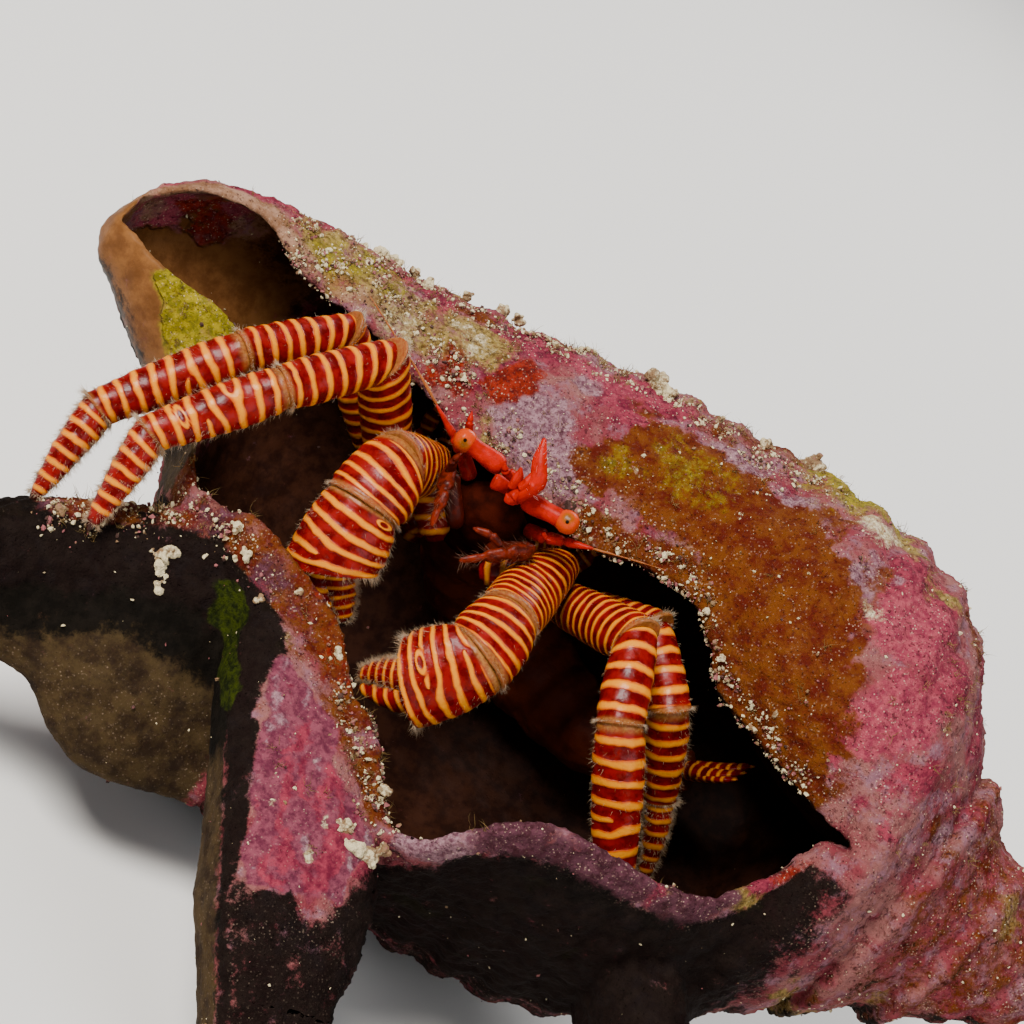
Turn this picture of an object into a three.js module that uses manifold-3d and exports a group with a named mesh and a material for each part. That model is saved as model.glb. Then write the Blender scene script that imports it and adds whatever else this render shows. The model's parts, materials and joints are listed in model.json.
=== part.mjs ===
// Halloween (striped) hermit crab peering out of a spider conch shell.
//
// Millimetres, +Z up.  The shell's length runs along X with the spire at +X;
// the crab looks out along -Y.  The model rests on the shell's finger tips and
// on two blunt knobs of the whorl, all trimmed flat at Z = 0.
//
// Everything is first set out in the crab's own frame, whose origin lies midway
// between the two eyes, and the whole group is then moved by HOME.

import * as THREE from 'three';
import { mergeVertices } from 'three/addons/utils/BufferGeometryUtils.js';
import Module from 'manifold-3d';

const wasm = await Module();
wasm.setup();

// ---------------------------------------------------------------- dimensions
const GAP = 0.3; // clearance between neighbouring pieces
const FLOOR = -57.8; // resting level in the crab's frame
const ROLL = THREE.MathUtils.degToRad(25); // the shell is rolled back about its length
const HOME = [-11.3, 12.2, -FLOOR]; // crab's frame -> middle of the footprint

// Shell, in its own rolled frame: x along the shell, s backward, t upward.
const SHELL_FRONT = -56.6; // blunt tip of the siphonal canal
const APERTURE_LEFT = -53;
const APERTURE_RIGHT = 52.5;
const CAVITY_END = 57;
const APEX = 91;
const CANAL_CUT = -31.5; // canal | body whorl
const SPIRE_CUT = 56; // body whorl | spire
const ROOF_CUT = -13; // roof | bowl, a level of t
const SUTURE_PITCH = 9.5; // spacing of the spire's whorls
const SUTURE_DEPTH = 0.1;
const RIM_REACH = THREE.MathUtils.degToRad(58); // how far a rim's flare fades into the whorl
const RIM_THINNING = 0.5; // share of the wall's thickness lost at the rims

const shellTop = curve([[-57, -3], [-54.5, 2.4], [-52, 5.4], [-46, 9.4], [-40, 11], [-34, 12.6],
  [-28, 14.2], [-20, 15.8], [-10, 17.8], [0, 20.2], [10, 21.8], [20, 23], [30, 23.8], [40, 23.6],
  [48, 22.6], [54, 19.6], [58, 15.2], [61, 11.4], [64, 8], [68, 4.2], [75, 0], [84, -6.4], [91, -11]]);
const shellFoot = curve([[-57, -5], [-54.5, -8], [-52, -9.4], [-46, -13.6], [-40, -17.4], [-34, -24],
  [-30, -35], [-20, -49.6], [-10, -53], [0, -53.6], [10, -53.6], [20, -52.8], [30, -51.2], [40, -47.8],
  [48, -43], [54, -38], [58, -34.6], [64, -29.6], [75, -22.6], [84, -17], [91, -12.4]]);
const shellMiddle = curve([[-57, 3], [-52, 5], [-46, 6.5], [-34, 9.5], [-28, 11], [-20, 12.5],
  [-10, 13.5], [0, 14], [10, 14], [20, 13], [30, 12], [40, 11], [58, 11], [91, 10]]);
const shellDepth = curve([[-57, 1.4], [-54.5, 5.6], [-52, 7.6], [-46, 10.5], [-40, 13], [-34, 16],
  [-28, 20], [-20, 24], [-10, 28], [0, 30], [10, 31.5], [20, 32], [30, 32], [40, 31], [48, 29.4],
  [54, 27], [58, 24], [61, 20.6], [66, 16.4], [75, 10.4], [84, 5], [91, 0.7]]);
const wallThickness = curve([[-57, 1.8], [-45, 2.2], [-30, 2.6], [-10, 3], [20, 3.4], [50, 3.6],
  [60, 4]]);

// The two rims of the aperture: height t and depth s against x.
const roofRimT = curve([[-57, 1], [-53, 3.4], [-50, 6.2], [-46, 7.8], [-42, 8.4], [-38.4, 7.2],
  [-35, 6], [-30, 5.5], [-22.7, 5.6], [-14.6, 3.6], [-8.2, 1.8], [-2.2, 0.6], [3.4, 1.8], [11, 0.4],
  [16.5, 2.6], [23.2, 3.2], [28.3, 0.8], [33.2, -4.1], [40.4, -5.9], [46.8, -7.7], [53, -9.2],
  [60, -9.4]]);
const roofRimS = curve([[-57, 2], [-50, 2.4], [-42, 3], [-30, 3], [-14.6, 2], [3.4, 0], [23, -3],
  [33, -5], [46.8, -8], [53, -9], [60, -8]]);
const lipRimT = curve([[-57, -2.4], [-53, -2.8], [-46, -4.2], [-40, -4], [-36.4, -4.8], [-33.6, -12],
  [-31, -19], [-28, -22], [-24, -22.2], [-20, -20.6], [-13.4, -22], [-6.6, -24], [-1.2, -28.8],
  [6, -33], [12, -39], [16, -37], [22.5, -29.4], [28, -27], [36, -26], [44, -24.6], [49.5, -18.6],
  [53, -11], [60, -10]]);
const lipRimS = curve([[-57, -1], [-52, -3], [-46, -3.6], [-36, -2.6], [-33.6, -4], [-31, -8],
  [-25, -12], [-13, -15.2], [-6.6, -15.2], [-1.2, -17.2], [6, -20], [12, -22.4], [16, -24],
  [22.5, -26], [28, -25], [36, -22], [43.5, -18], [49.5, -12.4], [53, -9.4], [60, -8.6]]);

// Fingers of the outer lip: centre line, then half-width and half-thickness at each point.
const FINGER_LEFT = {
  path: [[-9, -18.6, -31.6], [-21, -22.4, -32], [-33.5, -25.2, -32.5], [-44, -30.8, -36],
    [-54, -37.4, -42.6], [-62, -43, -50.6], [-65.4, -46.4, -60]],
  wide: [15, 16.6, 10.8, 7.8, 6, 4.8, 3.4],
  thick: [4, 5.4, 5, 4.6, 4.2, 3.6, 2.8],
  across: [[0.1, 0.42, 0.9], [0.1, 0.42, 0.9], [0.2, 0.42, 0.9], [0.5, 0.3, 0.8], [0.7, 0.2, 0.6],
    [0.8, 0.1, 0.4], [0.9, 0.1, 0.2]],
};
const FINGER_FRONT = {
  path: [[-11, -20, -21.5], [-7.5, -26.8, -24.8], [0, -34.4, -29.6], [7, -43.4, -35],
    [12.4, -52, -42.4], [16, -57.4, -50.4], [17.6, -59.4, -60]],
  wide: [5.4, 6.4, 8.2, 9.4, 6.8, 4.8, 3.6],
  thick: [5, 6, 6.4, 6.4, 5.6, 4.8, 3.8],
  across: [[1, 0.3, 0], [1, 0.3, 0], [0.8, 0.6, 0.2], [0.6, 0.75, 0.3], [0.8, 0.6, 0.2], [1, 0.3, 0],
    [1, 0.2, 0]],
};
const FINGER_RIGHT = {
  path: [[40, -14, -30], [46, -22, -33], [52, -30, -37.5], [58, -37, -44], [62, -41.5, -51],
    [63.6, -43.4, -59.6]],
  wide: [7, 8.6, 7.4, 5.8, 4.4, 3],
  thick: [4, 5, 4.8, 4.2, 3.6, 2.8],
  across: [[-0.6, 0.4, 1], [-0.6, 0.4, 1], [-0.6, 0.4, 1], [-0.6, 0.4, 1], [-0.7, 0.4, 0.8],
    [-0.8, 0.4, 0.5]],
};
const FOOT_KNOBS = [[-12, 17, -51.5, 6], [27, 19, -51.5, 6]]; // centre and radius
// x, angle round the whorl and radius
const SHOULDER_KNOBS = [[49, 62, 4.4], [49, 18, 4.6], [48, -26, 4.8], [48, -70, 4.8], [47, -114, 4.4]];

// Crab: joints of each limb from the body outward, in the crab's frame.
const LIMBS = {
  cheliped_right: {
    joints: [[-4, -1.6, -10], [-8.8, 0, -5], [-11.7, -9.7, -2], [-11.9, -14.6, -6.2], [-10.7, -17.4, -13.6],
      [-5.6, -16.6, -19]],
    wide: [2.2, 3.6, 4.5, 5, 2.3],
    thick: [2.1, 3.2, 3.5, 3.5, 1.7],
    outward: 1,
  },
  cheliped_left: {
    joints: [[4, -1.6, -10], [9.2, -0.6, -6], [8.7, -14.3, -6.9], [8.6, -20.1, -10], [4.4, -22.1, -16.6],
      [-1.2, -20.4, -21]],
    wide: [2.2, 3.6, 4.3, 5, 2.3],
    thick: [2.1, 3.2, 3.4, 3.5, 1.7],
    outward: -1,
  },
  leg2_right: {
    joints: [[-5.6, 1.8, -12.2], [-13, 2.6, -9], [-20.2, -3.5, 4.3], [-26.4, -13.9, -1.4],
      [-35, -22.1, -11.9], [-34.4, -27.9, -22.7]],
    wide: [2, 2.9, 2.7, 2.9, 2],
    thick: [1.9, 2.2, 2.3, 2.3, 1.5],
  },
  leg2_left: {
    joints: [[5.6, 2.6, -12.4], [12.6, 3.2, -9.8], [21.8, -9.6, -1.8], [25.7, -17.4, -7.4], [36, -19, -22.9],
      [38.5, -13, -38.5]],
    wide: [2, 2.9, 2.7, 3, 2],
    thick: [1.9, 2.2, 2.3, 2.3, 1.5],
  },
  leg3_right: {
    joints: [[-5.8, 6.4, -15.4], [-12, 8.8, -13.6], [-26.1, 1, 2], [-33.2, -9.9, -2.3], [-42.2, -18.9, -14.4],
      [-41.8, -25.4, -25.7]],
    wide: [2, 2.8, 2.6, 2.8, 1.9],
    thick: [1.9, 2.1, 2.2, 2.2, 1.4],
  },
  leg3_left: {
    joints: [[5.8, 6, -15.4], [13, 9.6, -13.2], [23.6, -1.2, -3.8], [29.9, -7.4, -7.3], [35.9, -4.4, -18.9],
      [40.9, -4, -29.8]],
    wide: [2, 2.8, 2.5, 2.6, 1.7],
    thick: [1.9, 2.1, 2.1, 2.1, 1.3],
  },
};
const SEGMENTS = ['ischium', 'merus', 'carpus', 'propodus', 'dactyl'];
const DACTYL_ARCH = new THREE.Vector3(0, 0, 0.9); // rise of a finger's middle over its chord
const VIEWED = new THREE.Vector3(0, -0.906, 0.423); // the flat sides of the limbs face forward and up

// Body axis: from the rostrum backward and down under the roof of the shell.
const ROSTRUM = new THREE.Vector3(0, -2.4, 0.3);
const BACKWARD = new THREE.Vector3(0, 0.8, -0.6).normalize();
const DORSAL = new THREE.Vector3(0, 0.6, 0.8).normalize();
const SHIELD_LENGTH = 10.4;
const CARAPACE_LENGTH = 21.5;
const bodyHalfWidth = curve([[0, 1.6], [1.4, 3.6], [4, 4.8], [7, 5.1], [10.4, 4.9], [12, 5.8], [15, 7],
  [19, 6.8], [21.5, 5.2]]);
const bodyHeight = curve([[0, 2.4], [1.4, 4.4], [5, 6.4], [10.4, 8], [15, 9], [19, 8.4], [21.5, 6.4]]);

const ABDOMEN = {
  path: [[0, 11.4, -14], [1.4, 15, -17.6], [5.4, 19, -22.6], [11.6, 21, -27], [19, 20, -29],
    [26.4, 16.6, -28.4], [33, 13, -25.4], [38, 10, -21.4]],
  radius: [5, 6.4, 6.8, 6.6, 5.8, 5, 4, 2.8],
};
const ABDOMEN_PARTS = [[0, 2.45], [2.5, 4.65], [4.7, 7]]; // spans along the path
const TAIL_FAN = {
  path: [[38.6, 9.7, -20.7], [41, 8.4, -18], [43, 7.4, -15.6]],
  wide: [2.6, 3.6, 2.6],
  thick: [1.8, 1.2, 0.6],
  across: [[0.6, 0.7, 0.3], [0.6, 0.7, 0.3], [0.6, 0.7, 0.3]],
};
const COLUMELLA = {
  path: [[60, 11, -5], [48, 12, -2.5], [34, 14, 4], [20, 15, 10.6], [6, 14, 16]],
  radius: [7, 7, 6, 5, 3.5],
};

// Small pieces of the head: centre lines, then half-width and half-thickness along them.
const EYES = {
  right: [[-1.9, -3.9, 2.8], [-8.6, -4.5, 3]],
  left: [[2, -4.5, 1.5], [9, -5.5, 3.2]],
};
const STALK_RADIUS = [[0, 0.8], [0.08, 1.2], [0.3, 1.16], [0.64, 1.04]];
const CORNEA_RADIUS = [[0.66, 1.02], [0.76, 1.3], [0.86, 1.32], [0.95, 0.95], [1, 0.45]];
const SPRIGS = {
  ocular_segment: { path: [[-1.35, -3.6, 2.4], [0.1, -3.5, 1.9], [1.4, -4, 1.5]], radius: [1, 1.3, 1] },
  antennule_right: { path: [[0.1, -5.3, 1.4], [-1.5, -6.6, 2.2], [-1.3, -7.7, 3.9], [-0.9, -7.2, 5.8]],
    radius: [0.7, 0.95, 0.8, 0.35] },
  antennule_left: {
    path: [[1.9, -6.4, 1], [1.2, -7.9, 2.4], [2, -7.9, 4.6], [1.4, -6.3, 7], [0.2, -4.6, 9.2]],
    radius: [0.7, 0.95, 1, 0.8, 0.35],
  },
  antenna_right_peduncle: { path: [[-4.2, -1.4, -2], [-6.6, -1.8, 0.2], [-9, -2.4, 1.8], [-12.5, -2.6, 3.6]],
    radius: [1, 0.95, 0.75, 0.35] },
  antenna_right_flagellum: { path: [[-12.8, -2.4, 3.8], [-20, -1, 6.3], [-26.2, -0.4, 8.6]],
    radius: [0.3, 0.27, 0.25] },
  antenna_left_peduncle: { path: [[4.4, -1.8, -2.6], [6.6, -3.4, -1.2], [9, -4.2, 0.3], [12, -4.6, 1.9]],
    radius: [1, 0.95, 0.75, 0.35] },
  antenna_left_flagellum: { path: [[12.3, -4.6, 2.1], [15.8, -4.4, 3.4], [20, -4.2, 5]],
    radius: [0.3, 0.27, 0.25] },
  maxilliped_right: { path: [[-2, -4.6, -6.6], [-6.4, -4.8, -1.6], [-5.4, -8.4, -2.8], [-4.4, -10.3, -5.5]],
    radius: [1.1, 1.2, 1, 0.5] },
  maxilliped_left: { path: [[2, -4.6, -6.6], [6, -6.4, -2.6], [4, -9.1, -3.4], [0.4, -11.4, -6.3]],
    radius: [1.1, 1.2, 1, 0.5] },
  leg4_right: { path: [[-6.4, 9.6, -11.6], [-10.6, 12.4, -11.6], [-12.6, 15, -7.2], [-12.8, 16, -3]],
    radius: [1.5, 1.4, 1.1, 0.6] },
  leg4_left: { path: [[6.4, 9.6, -11.6], [10.6, 12.4, -11.6], [12.6, 15, -7.2], [12.8, 16, -3]],
    radius: [1.5, 1.4, 1.1, 0.6] },
  leg5_right: { path: [[-5.4, 12, -11], [-8.8, 15.2, -10], [-10, 17.8, -6.8], [-9.4, 18.4, -3.4]],
    radius: [1.2, 1.1, 0.9, 0.5] },
  leg5_left: { path: [[5.4, 12, -11], [8.8, 15.2, -10], [10, 17.8, -6.8], [9.4, 18.4, -3.4]],
    radius: [1.2, 1.1, 0.9, 0.5] },
};

// ------------------------------------------------------------------- shaping

/** Smooth function through [x, value] knots, with no overshoot between them. */
function curve(knots) {
  const n = knots.length;
  const slope = knots.map((k, i) => {
    if (i === 0 || i === n - 1) return 0;
    const before = (k[1] - knots[i - 1][1]) / (k[0] - knots[i - 1][0]);
    const after = (knots[i + 1][1] - k[1]) / (knots[i + 1][0] - k[0]);
    return before * after <= 0 ? 0 : (2 * before * after) / (before + after);
  });
  return (x) => {
    if (x <= knots[0][0]) return knots[0][1];
    if (x >= knots[n - 1][0]) return knots[n - 1][1];
    let i = 0;
    while (x > knots[i + 1][0]) i += 1;
    const span = knots[i + 1][0] - knots[i][0];
    const u = (x - knots[i][0]) / span;
    const u2 = u * u;
    const u3 = u2 * u;
    return knots[i][1] * (2 * u3 - 3 * u2 + 1) + slope[i] * span * (u3 - 2 * u2 + u)
      + knots[i + 1][1] * (3 * u2 - 2 * u3) + slope[i + 1] * span * (u3 - u2);
  };
}

/** Closed geometry through equal rings of points, with a fan over each end. */
function loft(rings) {
  const count = rings[0].length;
  const positions = [];
  const index = [];
  rings.forEach((ring) => ring.forEach((p) => positions.push(p.x, p.y, p.z)));
  for (let i = 0; i < rings.length - 1; i += 1) {
    for (let j = 0; j < count; j += 1) {
      const a = i * count + j;
      const b = i * count + ((j + 1) % count);
      index.push(a, b, a + count, b, b + count, a + count);
    }
  }
  [rings[0], rings[rings.length - 1]].forEach((ring, end) => {
    const middle = ring.reduce((sum, p) => sum.add(p), new THREE.Vector3()).divideScalar(count);
    const hub = positions.length / 3;
    const start = end === 0 ? 0 : (rings.length - 1) * count;
    positions.push(middle.x, middle.y, middle.z);
    for (let j = 0; j < count; j += 1) {
      const a = start + j;
      const b = start + ((j + 1) % count);
      if (end === 0) index.push(hub, b, a);
      else index.push(hub, a, b);
    }
  });
  const geometry = new THREE.BufferGeometry();
  geometry.setAttribute('position', new THREE.Float32BufferAttribute(positions, 3));
  geometry.setIndex(index);
  return geometry;
}

/** Solid for joining and cutting, turned the right way out whatever way its rings ran. */
function solid(geometry) {
  const bare = geometry.clone();
  bare.deleteAttribute('normal');
  bare.deleteAttribute('uv');
  const welded = mergeVertices(bare, 1e-5);
  const vertProperties = new Float32Array(welded.attributes.position.array);
  const triVerts = new Uint32Array(welded.index.array);
  let volume = 0;
  const at = (i) => new THREE.Vector3().fromArray(vertProperties, 3 * i);
  for (let i = 0; i < triVerts.length; i += 3) {
    volume += at(triVerts[i]).dot(at(triVerts[i + 1]).cross(at(triVerts[i + 2])));
  }
  if (volume < 0) {
    for (let i = 0; i < triVerts.length; i += 3) {
      [triVerts[i + 1], triVerts[i + 2]] = [triVerts[i + 2], triVerts[i + 1]];
    }
  }
  return new wasm.Manifold(new wasm.Mesh({ numProp: 3, vertProperties, triVerts }));
}

/** The largest connected body of a solid. */
function largest(shape) {
  const bodies = shape.decompose();
  bodies.sort((a, b) => b.volume() - a.volume());
  return bodies[0];
}

function geometryOf(shape) {
  const mesh = shape.getMesh();
  const geometry = new THREE.BufferGeometry();
  geometry.setAttribute('position', new THREE.Float32BufferAttribute(mesh.vertProperties, 3));
  geometry.setIndex(Array.from(mesh.triVerts));
  const flat = geometry.toNonIndexed();
  flat.computeVertexNormals();
  return flat;
}

/** A large block filling the side of a plane that its normal points to. */
function halfSpace(point, normal, size = 260) {
  const block = new THREE.BoxGeometry(size, size, size);
  block.translate(0, 0, size / 2);
  block.applyQuaternion(new THREE.Quaternion().setFromUnitVectors(
    new THREE.Vector3(0, 0, 1), normal.clone().normalize()));
  block.translate(point.x, point.y, point.z);
  return solid(block);
}

/** Oval ring of points round a centre; power 1 is an ellipse, below 1 is squarer. */
function oval(centre, side, up, halfWide, halfThick, sides, power = 0.9) {
  return Array.from({ length: sides }, (_, j) => {
    const a = (2 * Math.PI * (j + 0.5)) / sides;
    const c = Math.sign(Math.cos(a)) * Math.abs(Math.cos(a)) ** power;
    const s = Math.sign(Math.sin(a)) * Math.abs(Math.sin(a)) ** power;
    return centre.clone().addScaledVector(side, c * halfWide).addScaledVector(up, s * halfThick);
  });
}

/** Rings along a smooth path, their wide axis kept near `across`. */
function sweep({
  path, wide, thick, across, sides = 12, steps = 2, power = 0.9, from = 0, to = path.length - 1,
}) {
  const line = new THREE.CatmullRomCurve3(path.map((p) => new THREE.Vector3(...p)), false, 'centripetal');
  const last = path.length - 1;
  const wideAt = curve(wide.map((w, i) => [i, w]));
  const thickAt = curve(thick.map((w, i) => [i, w]));
  const hintAt = [0, 1, 2].map((axis) => curve(across.map((a, i) => [i, a[axis]])));
  const count = Math.max(2, Math.round((to - from) * steps));
  return Array.from({ length: count + 1 }, (_, k) => {
    const u = from + ((to - from) * k) / count;
    const centre = line.getPoint(u / last);
    const along = line.getTangent(u / last);
    const hint = new THREE.Vector3(...hintAt.map((f) => f(u)));
    const up = new THREE.Vector3().crossVectors(along, hint).normalize();
    const side = new THREE.Vector3().crossVectors(up, along).normalize();
    return oval(centre, side, up, wideAt(u), thickAt(u), sides, power);
  });
}

// --------------------------------------------------------------------- shell

/** Radius of the whorl's oval about its middle, with the spire's spiral suture. */
function whorlRadius(x, angle) {
  const half = (shellTop(x) - shellFoot(x)) / 2;
  const base = 1 / Math.hypot(Math.cos(angle) / shellDepth(x), Math.sin(angle) / half);
  const turn = (x - 50) / SUTURE_PITCH + angle / (2 * Math.PI);
  const fade = THREE.MathUtils.smoothstep(x, 56, 64);
  return base * (1 + fade * SUTURE_DEPTH * (0.5 - (turn - Math.floor(turn))));
}

/** Polar frame of one section: its middle, and the angle and radius of both rims. */
function section(x) {
  const middle = { s: shellMiddle(x), t: (shellTop(x) + shellFoot(x)) / 2 };
  const roof = { s: roofRimS(x) - middle.s, t: roofRimT(x) - middle.t };
  const lip = { s: lipRimS(x) - middle.s, t: lipRimT(x) - middle.t };
  let roofAngle = Math.atan2(roof.t, roof.s);
  if (roofAngle < 0) roofAngle += 2 * Math.PI;
  let lipAngle = Math.atan2(lip.t, lip.s);
  if (lipAngle > 0) lipAngle -= 2 * Math.PI;
  return { middle, roof, lip, roofAngle, lipAngle };
}

/**
 * One ring of the shell's section.  The wall runs from the roof's rim over the back
 * to the lip's rim, and a straight chord closes the mouth between the rims.
 */
function shellRing(x, inset, mouthReach, wallSides = 15, mouthSides = 3) {
  const { middle, roof, lip, roofAngle, lipAngle } = section(x);
  const mouthOpen = x > APERTURE_LEFT - 4 && x < APERTURE_RIGHT + 8;
  const fadeOut = 1 - THREE.MathUtils.smoothstep(x, APERTURE_RIGHT, APERTURE_RIGHT + 6);
  const fadeIn = THREE.MathUtils.smoothstep(x, SHELL_FRONT, APERTURE_LEFT);
  const edge = mouthOpen ? fadeOut * fadeIn : 0;
  const roofGain = (Math.hypot(roof.s, roof.t) - whorlRadius(x, roofAngle)) * edge;
  const lipGain = (Math.hypot(lip.s, lip.t) - whorlRadius(x, lipAngle)) * edge;
  const sweepAngle = roofAngle - lipAngle;
  const fromRoof = (angle) => Math.max(0, 1 - (roofAngle - angle) / RIM_REACH);
  const fromLip = (angle) => Math.max(0, 1 - (angle - lipAngle) / RIM_REACH);
  const radiusAt = (angle) => whorlRadius(x, angle)
    + roofGain * fromRoof(angle) ** 2
    + lipGain * fromLip(angle) ** 2;
  const insetAt = (angle) => {
    const thinning = RIM_THINNING * edge * Math.max(fromRoof(angle), fromLip(angle));
    return inset > 0 ? inset * (1 - thinning) : inset;
  };
  const rim = (angle) => {
    const r = radiusAt(angle);
    return { s: r * Math.cos(angle), t: r * Math.sin(angle) };
  };
  const a = rim(lipAngle);
  const b = rim(roofAngle);
  const points = [];
  for (let j = 0; j <= wallSides; j += 1) {
    const angle = roofAngle - (sweepAngle * j) / wallSides;
    const r = Math.max(0.3, radiusAt(angle) - insetAt(angle));
    points.push([r * Math.cos(angle), r * Math.sin(angle)]);
  }
  const bulge = mouthReach * edge;
  for (let j = 1; j < mouthSides; j += 1) {
    const u = j / mouthSides;
    const s = a.s + (b.s - a.s) * u;
    const t = a.t + (b.t - a.t) * u;
    const r = Math.hypot(s, t);
    const push = edge > 0.5 ? 1.2 + bulge * Math.sin(Math.PI * u) : 0;
    const grown = inset > 0 ? r - inset * (edge > 0.5 ? 0 : 1) + push : r;
    points.push([(s / r) * Math.max(0.3, grown), (t / r) * Math.max(0.3, grown)]);
  }
  return points.map(([s, t]) => new THREE.Vector3(x, middle.s + s, middle.t + t));
}

function rolled(geometry) {
  return geometry.rotateX(-ROLL);
}

const MIDDLE_STATIONS = [-52, -47, -42, -38, -35, -32.6, -29, -22, -14, -6, 1, 7, 12, 17, 23, 30, 37, 44];
const SPIRE_STATIONS = [50, 55, 59, 62, 65, 68.4, 72, 76, 80.4, 86, APEX];
const OUTER_STATIONS = [SHELL_FRONT, -55.2, ...MIDDLE_STATIONS, ...SPIRE_STATIONS];
const INNER_STATIONS = [-54.6, -53.6, ...MIDDLE_STATIONS, 49, 53, CAVITY_END];

function whorlSolid(grow = 0) {
  return solid(rolled(loft(OUTER_STATIONS.map((x) => shellRing(x, -grow, 0)))));
}

function cavitySolid() {
  return solid(rolled(loft(INNER_STATIONS.map((x) => {
    const closing = 9 * THREE.MathUtils.smoothstep(x, 50, CAVITY_END);
    return shellRing(x, wallThickness(x) + closing, 9);
  }))));
}

/** Blunt knob on the whorl's shoulder at a given angle round the section. */
function shoulderKnob([x, degrees, radius], grow = 0) {
  const angle = THREE.MathUtils.degToRad(degrees);
  const { middle } = section(x);
  const r = whorlRadius(x, angle) - 0.6;
  const knob = new THREE.SphereGeometry(radius + grow, 6, 5);
  knob.scale(1.15, 1, 1);
  knob.translate(x, middle.s + r * Math.cos(angle), middle.t + r * Math.sin(angle));
  return solid(rolled(knob));
}

function footKnob(x, y, z, radius) {
  const knob = new THREE.SphereGeometry(radius, 8, 7);
  knob.scale(1.1, 1, 1.2);
  knob.translate(x, y, z);
  return solid(knob);
}

const up = new THREE.Vector3(0, 0, 1);
const along = new THREE.Vector3(1, 0, 0);
const belowFloor = halfSpace(new THREE.Vector3(0, 0, FLOOR), up.clone().negate());
const cavity = cavitySolid();
const columella = solid(rolled(loft(sweep({
  path: COLUMELLA.path,
  wide: COLUMELLA.radius,
  thick: COLUMELLA.radius,
  across: COLUMELLA.path.map(() => [0, 0, 1]),
  sides: 8,
  steps: 1,
}))));
let whole = whorlSolid();
let whorlClearance = whorlSolid(GAP);
SHOULDER_KNOBS.forEach((k) => {
  whole = whole.add(shoulderKnob(k));
  whorlClearance = whorlClearance.add(shoulderKnob(k, GAP));
});
FOOT_KNOBS.forEach((k) => {
  whole = whole.add(footKnob(...k));
});
whole = whole.subtract(cavity).add(columella.intersect(whorlSolid())).subtract(belowFloor);

const rolledUp = new THREE.Vector3(0, Math.sin(ROLL), Math.cos(ROLL));
const roofLevel = rolledUp.clone().multiplyScalar(ROOF_CUT);
const shifted = (point, direction, distance) => point.clone().addScaledVector(direction, distance);
const atX = (x) => new THREE.Vector3(x, 0, 0);

const canal = largest(whole.subtract(halfSpace(atX(CANAL_CUT - GAP / 2), along)));
const spire = largest(whole.subtract(halfSpace(atX(SPIRE_CUT + GAP / 2), along.clone().negate())));
const whorl = whole
  .subtract(halfSpace(atX(CANAL_CUT + GAP / 2), along.clone().negate()))
  .subtract(halfSpace(atX(SPIRE_CUT - GAP / 2), along));
const roof = largest(whorl.subtract(
  halfSpace(shifted(roofLevel, rolledUp, GAP / 2), rolledUp.clone().negate())));
const bowl = largest(whorl.subtract(halfSpace(shifted(roofLevel, rolledUp, -GAP / 2), rolledUp)));

function finger(shape) {
  return largest(solid(loft(sweep({ ...shape, sides: 9, steps: 1.4, power: 0.62 })))
    .subtract(whorlClearance)
    .subtract(cavity)
    .subtract(belowFloor));
}

// ---------------------------------------------------------------------- crab

/** Cephalothorax between two distances from the rostrum, grown by a clearance. */
function carapace(from, to, grow = 0, steps = 5) {
  return solid(loft(Array.from({ length: steps + 1 }, (_, i) => {
    const u = from + ((to - from) * i) / steps;
    const wide = bodyHalfWidth(u) + grow;
    const high = bodyHeight(u) / 2 + grow;
    const centre = ROSTRUM.clone().addScaledVector(BACKWARD, u).addScaledVector(DORSAL, grow - high);
    return oval(centre, along, DORSAL, wide, high, 10, 0.8);
  })));
}

const bodyClearance = carapace(-GAP, CARAPACE_LENGTH + GAP, GAP, 12);

/** Plane halfway between two limb segments that meet at a joint. */
function mitre(before, joint, after) {
  const inward = joint.clone().sub(before).normalize();
  const outward = after.clone().sub(joint).normalize();
  return inward.add(outward).normalize();
}

/** One limb segment before it is cut, tapered toward its joints. */
function limbBar(limb, i, grow = 0) {
  const [a, b] = [new THREE.Vector3(...limb.joints[i]), new THREE.Vector3(...limb.joints[i + 1])];
  const length = a.distanceTo(b);
  const direction = b.clone().sub(a).normalize();
  const side = new THREE.Vector3().crossVectors(direction, VIEWED).normalize();
  const flat = new THREE.Vector3().crossVectors(side, direction).normalize();
  const tip = i === SEGMENTS.length - 1;
  const profile = tip
    ? [[-0.1, 0.86], [0.14, 1], [0.5, 0.84], [0.85, 0.5], [1, 0.18]]
    : [[-3 / length, 0.78], [0.24, 1.02], [0.8, 1.03], [1 + 3 / length, 0.82]];
  return solid(loft(profile.map(([u, k]) => {
    const centre = a.clone().lerp(b, u);
    if (tip) centre.addScaledVector(DACTYL_ARCH, Math.sin(Math.PI * Math.min(1, Math.max(0, u))));
    return oval(centre, side, flat, limb.wide[i] * k + grow, limb.thick[i] * k + grow, 8);
  })));
}

/** One limb segment, cut back to the mitre planes of its joints. */
function limbSegment(limb, i) {
  const joints = limb.joints.map((p) => new THREE.Vector3(...p));
  let shape = limbBar(limb, i);
  if (i > 0) {
    const plane = mitre(joints[i - 1], joints[i], joints[i + 1]);
    shape = shape.subtract(halfSpace(shifted(joints[i], plane, GAP / 2), plane.clone().negate()));
  }
  if (i < SEGMENTS.length - 1) {
    const plane = mitre(joints[i], joints[i + 1], joints[i + 2]);
    shape = shape.subtract(halfSpace(shifted(joints[i + 1], plane, -GAP / 2), plane));
  }
  return i === 0 ? shape.subtract(bodyClearance) : shape;
}

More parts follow.
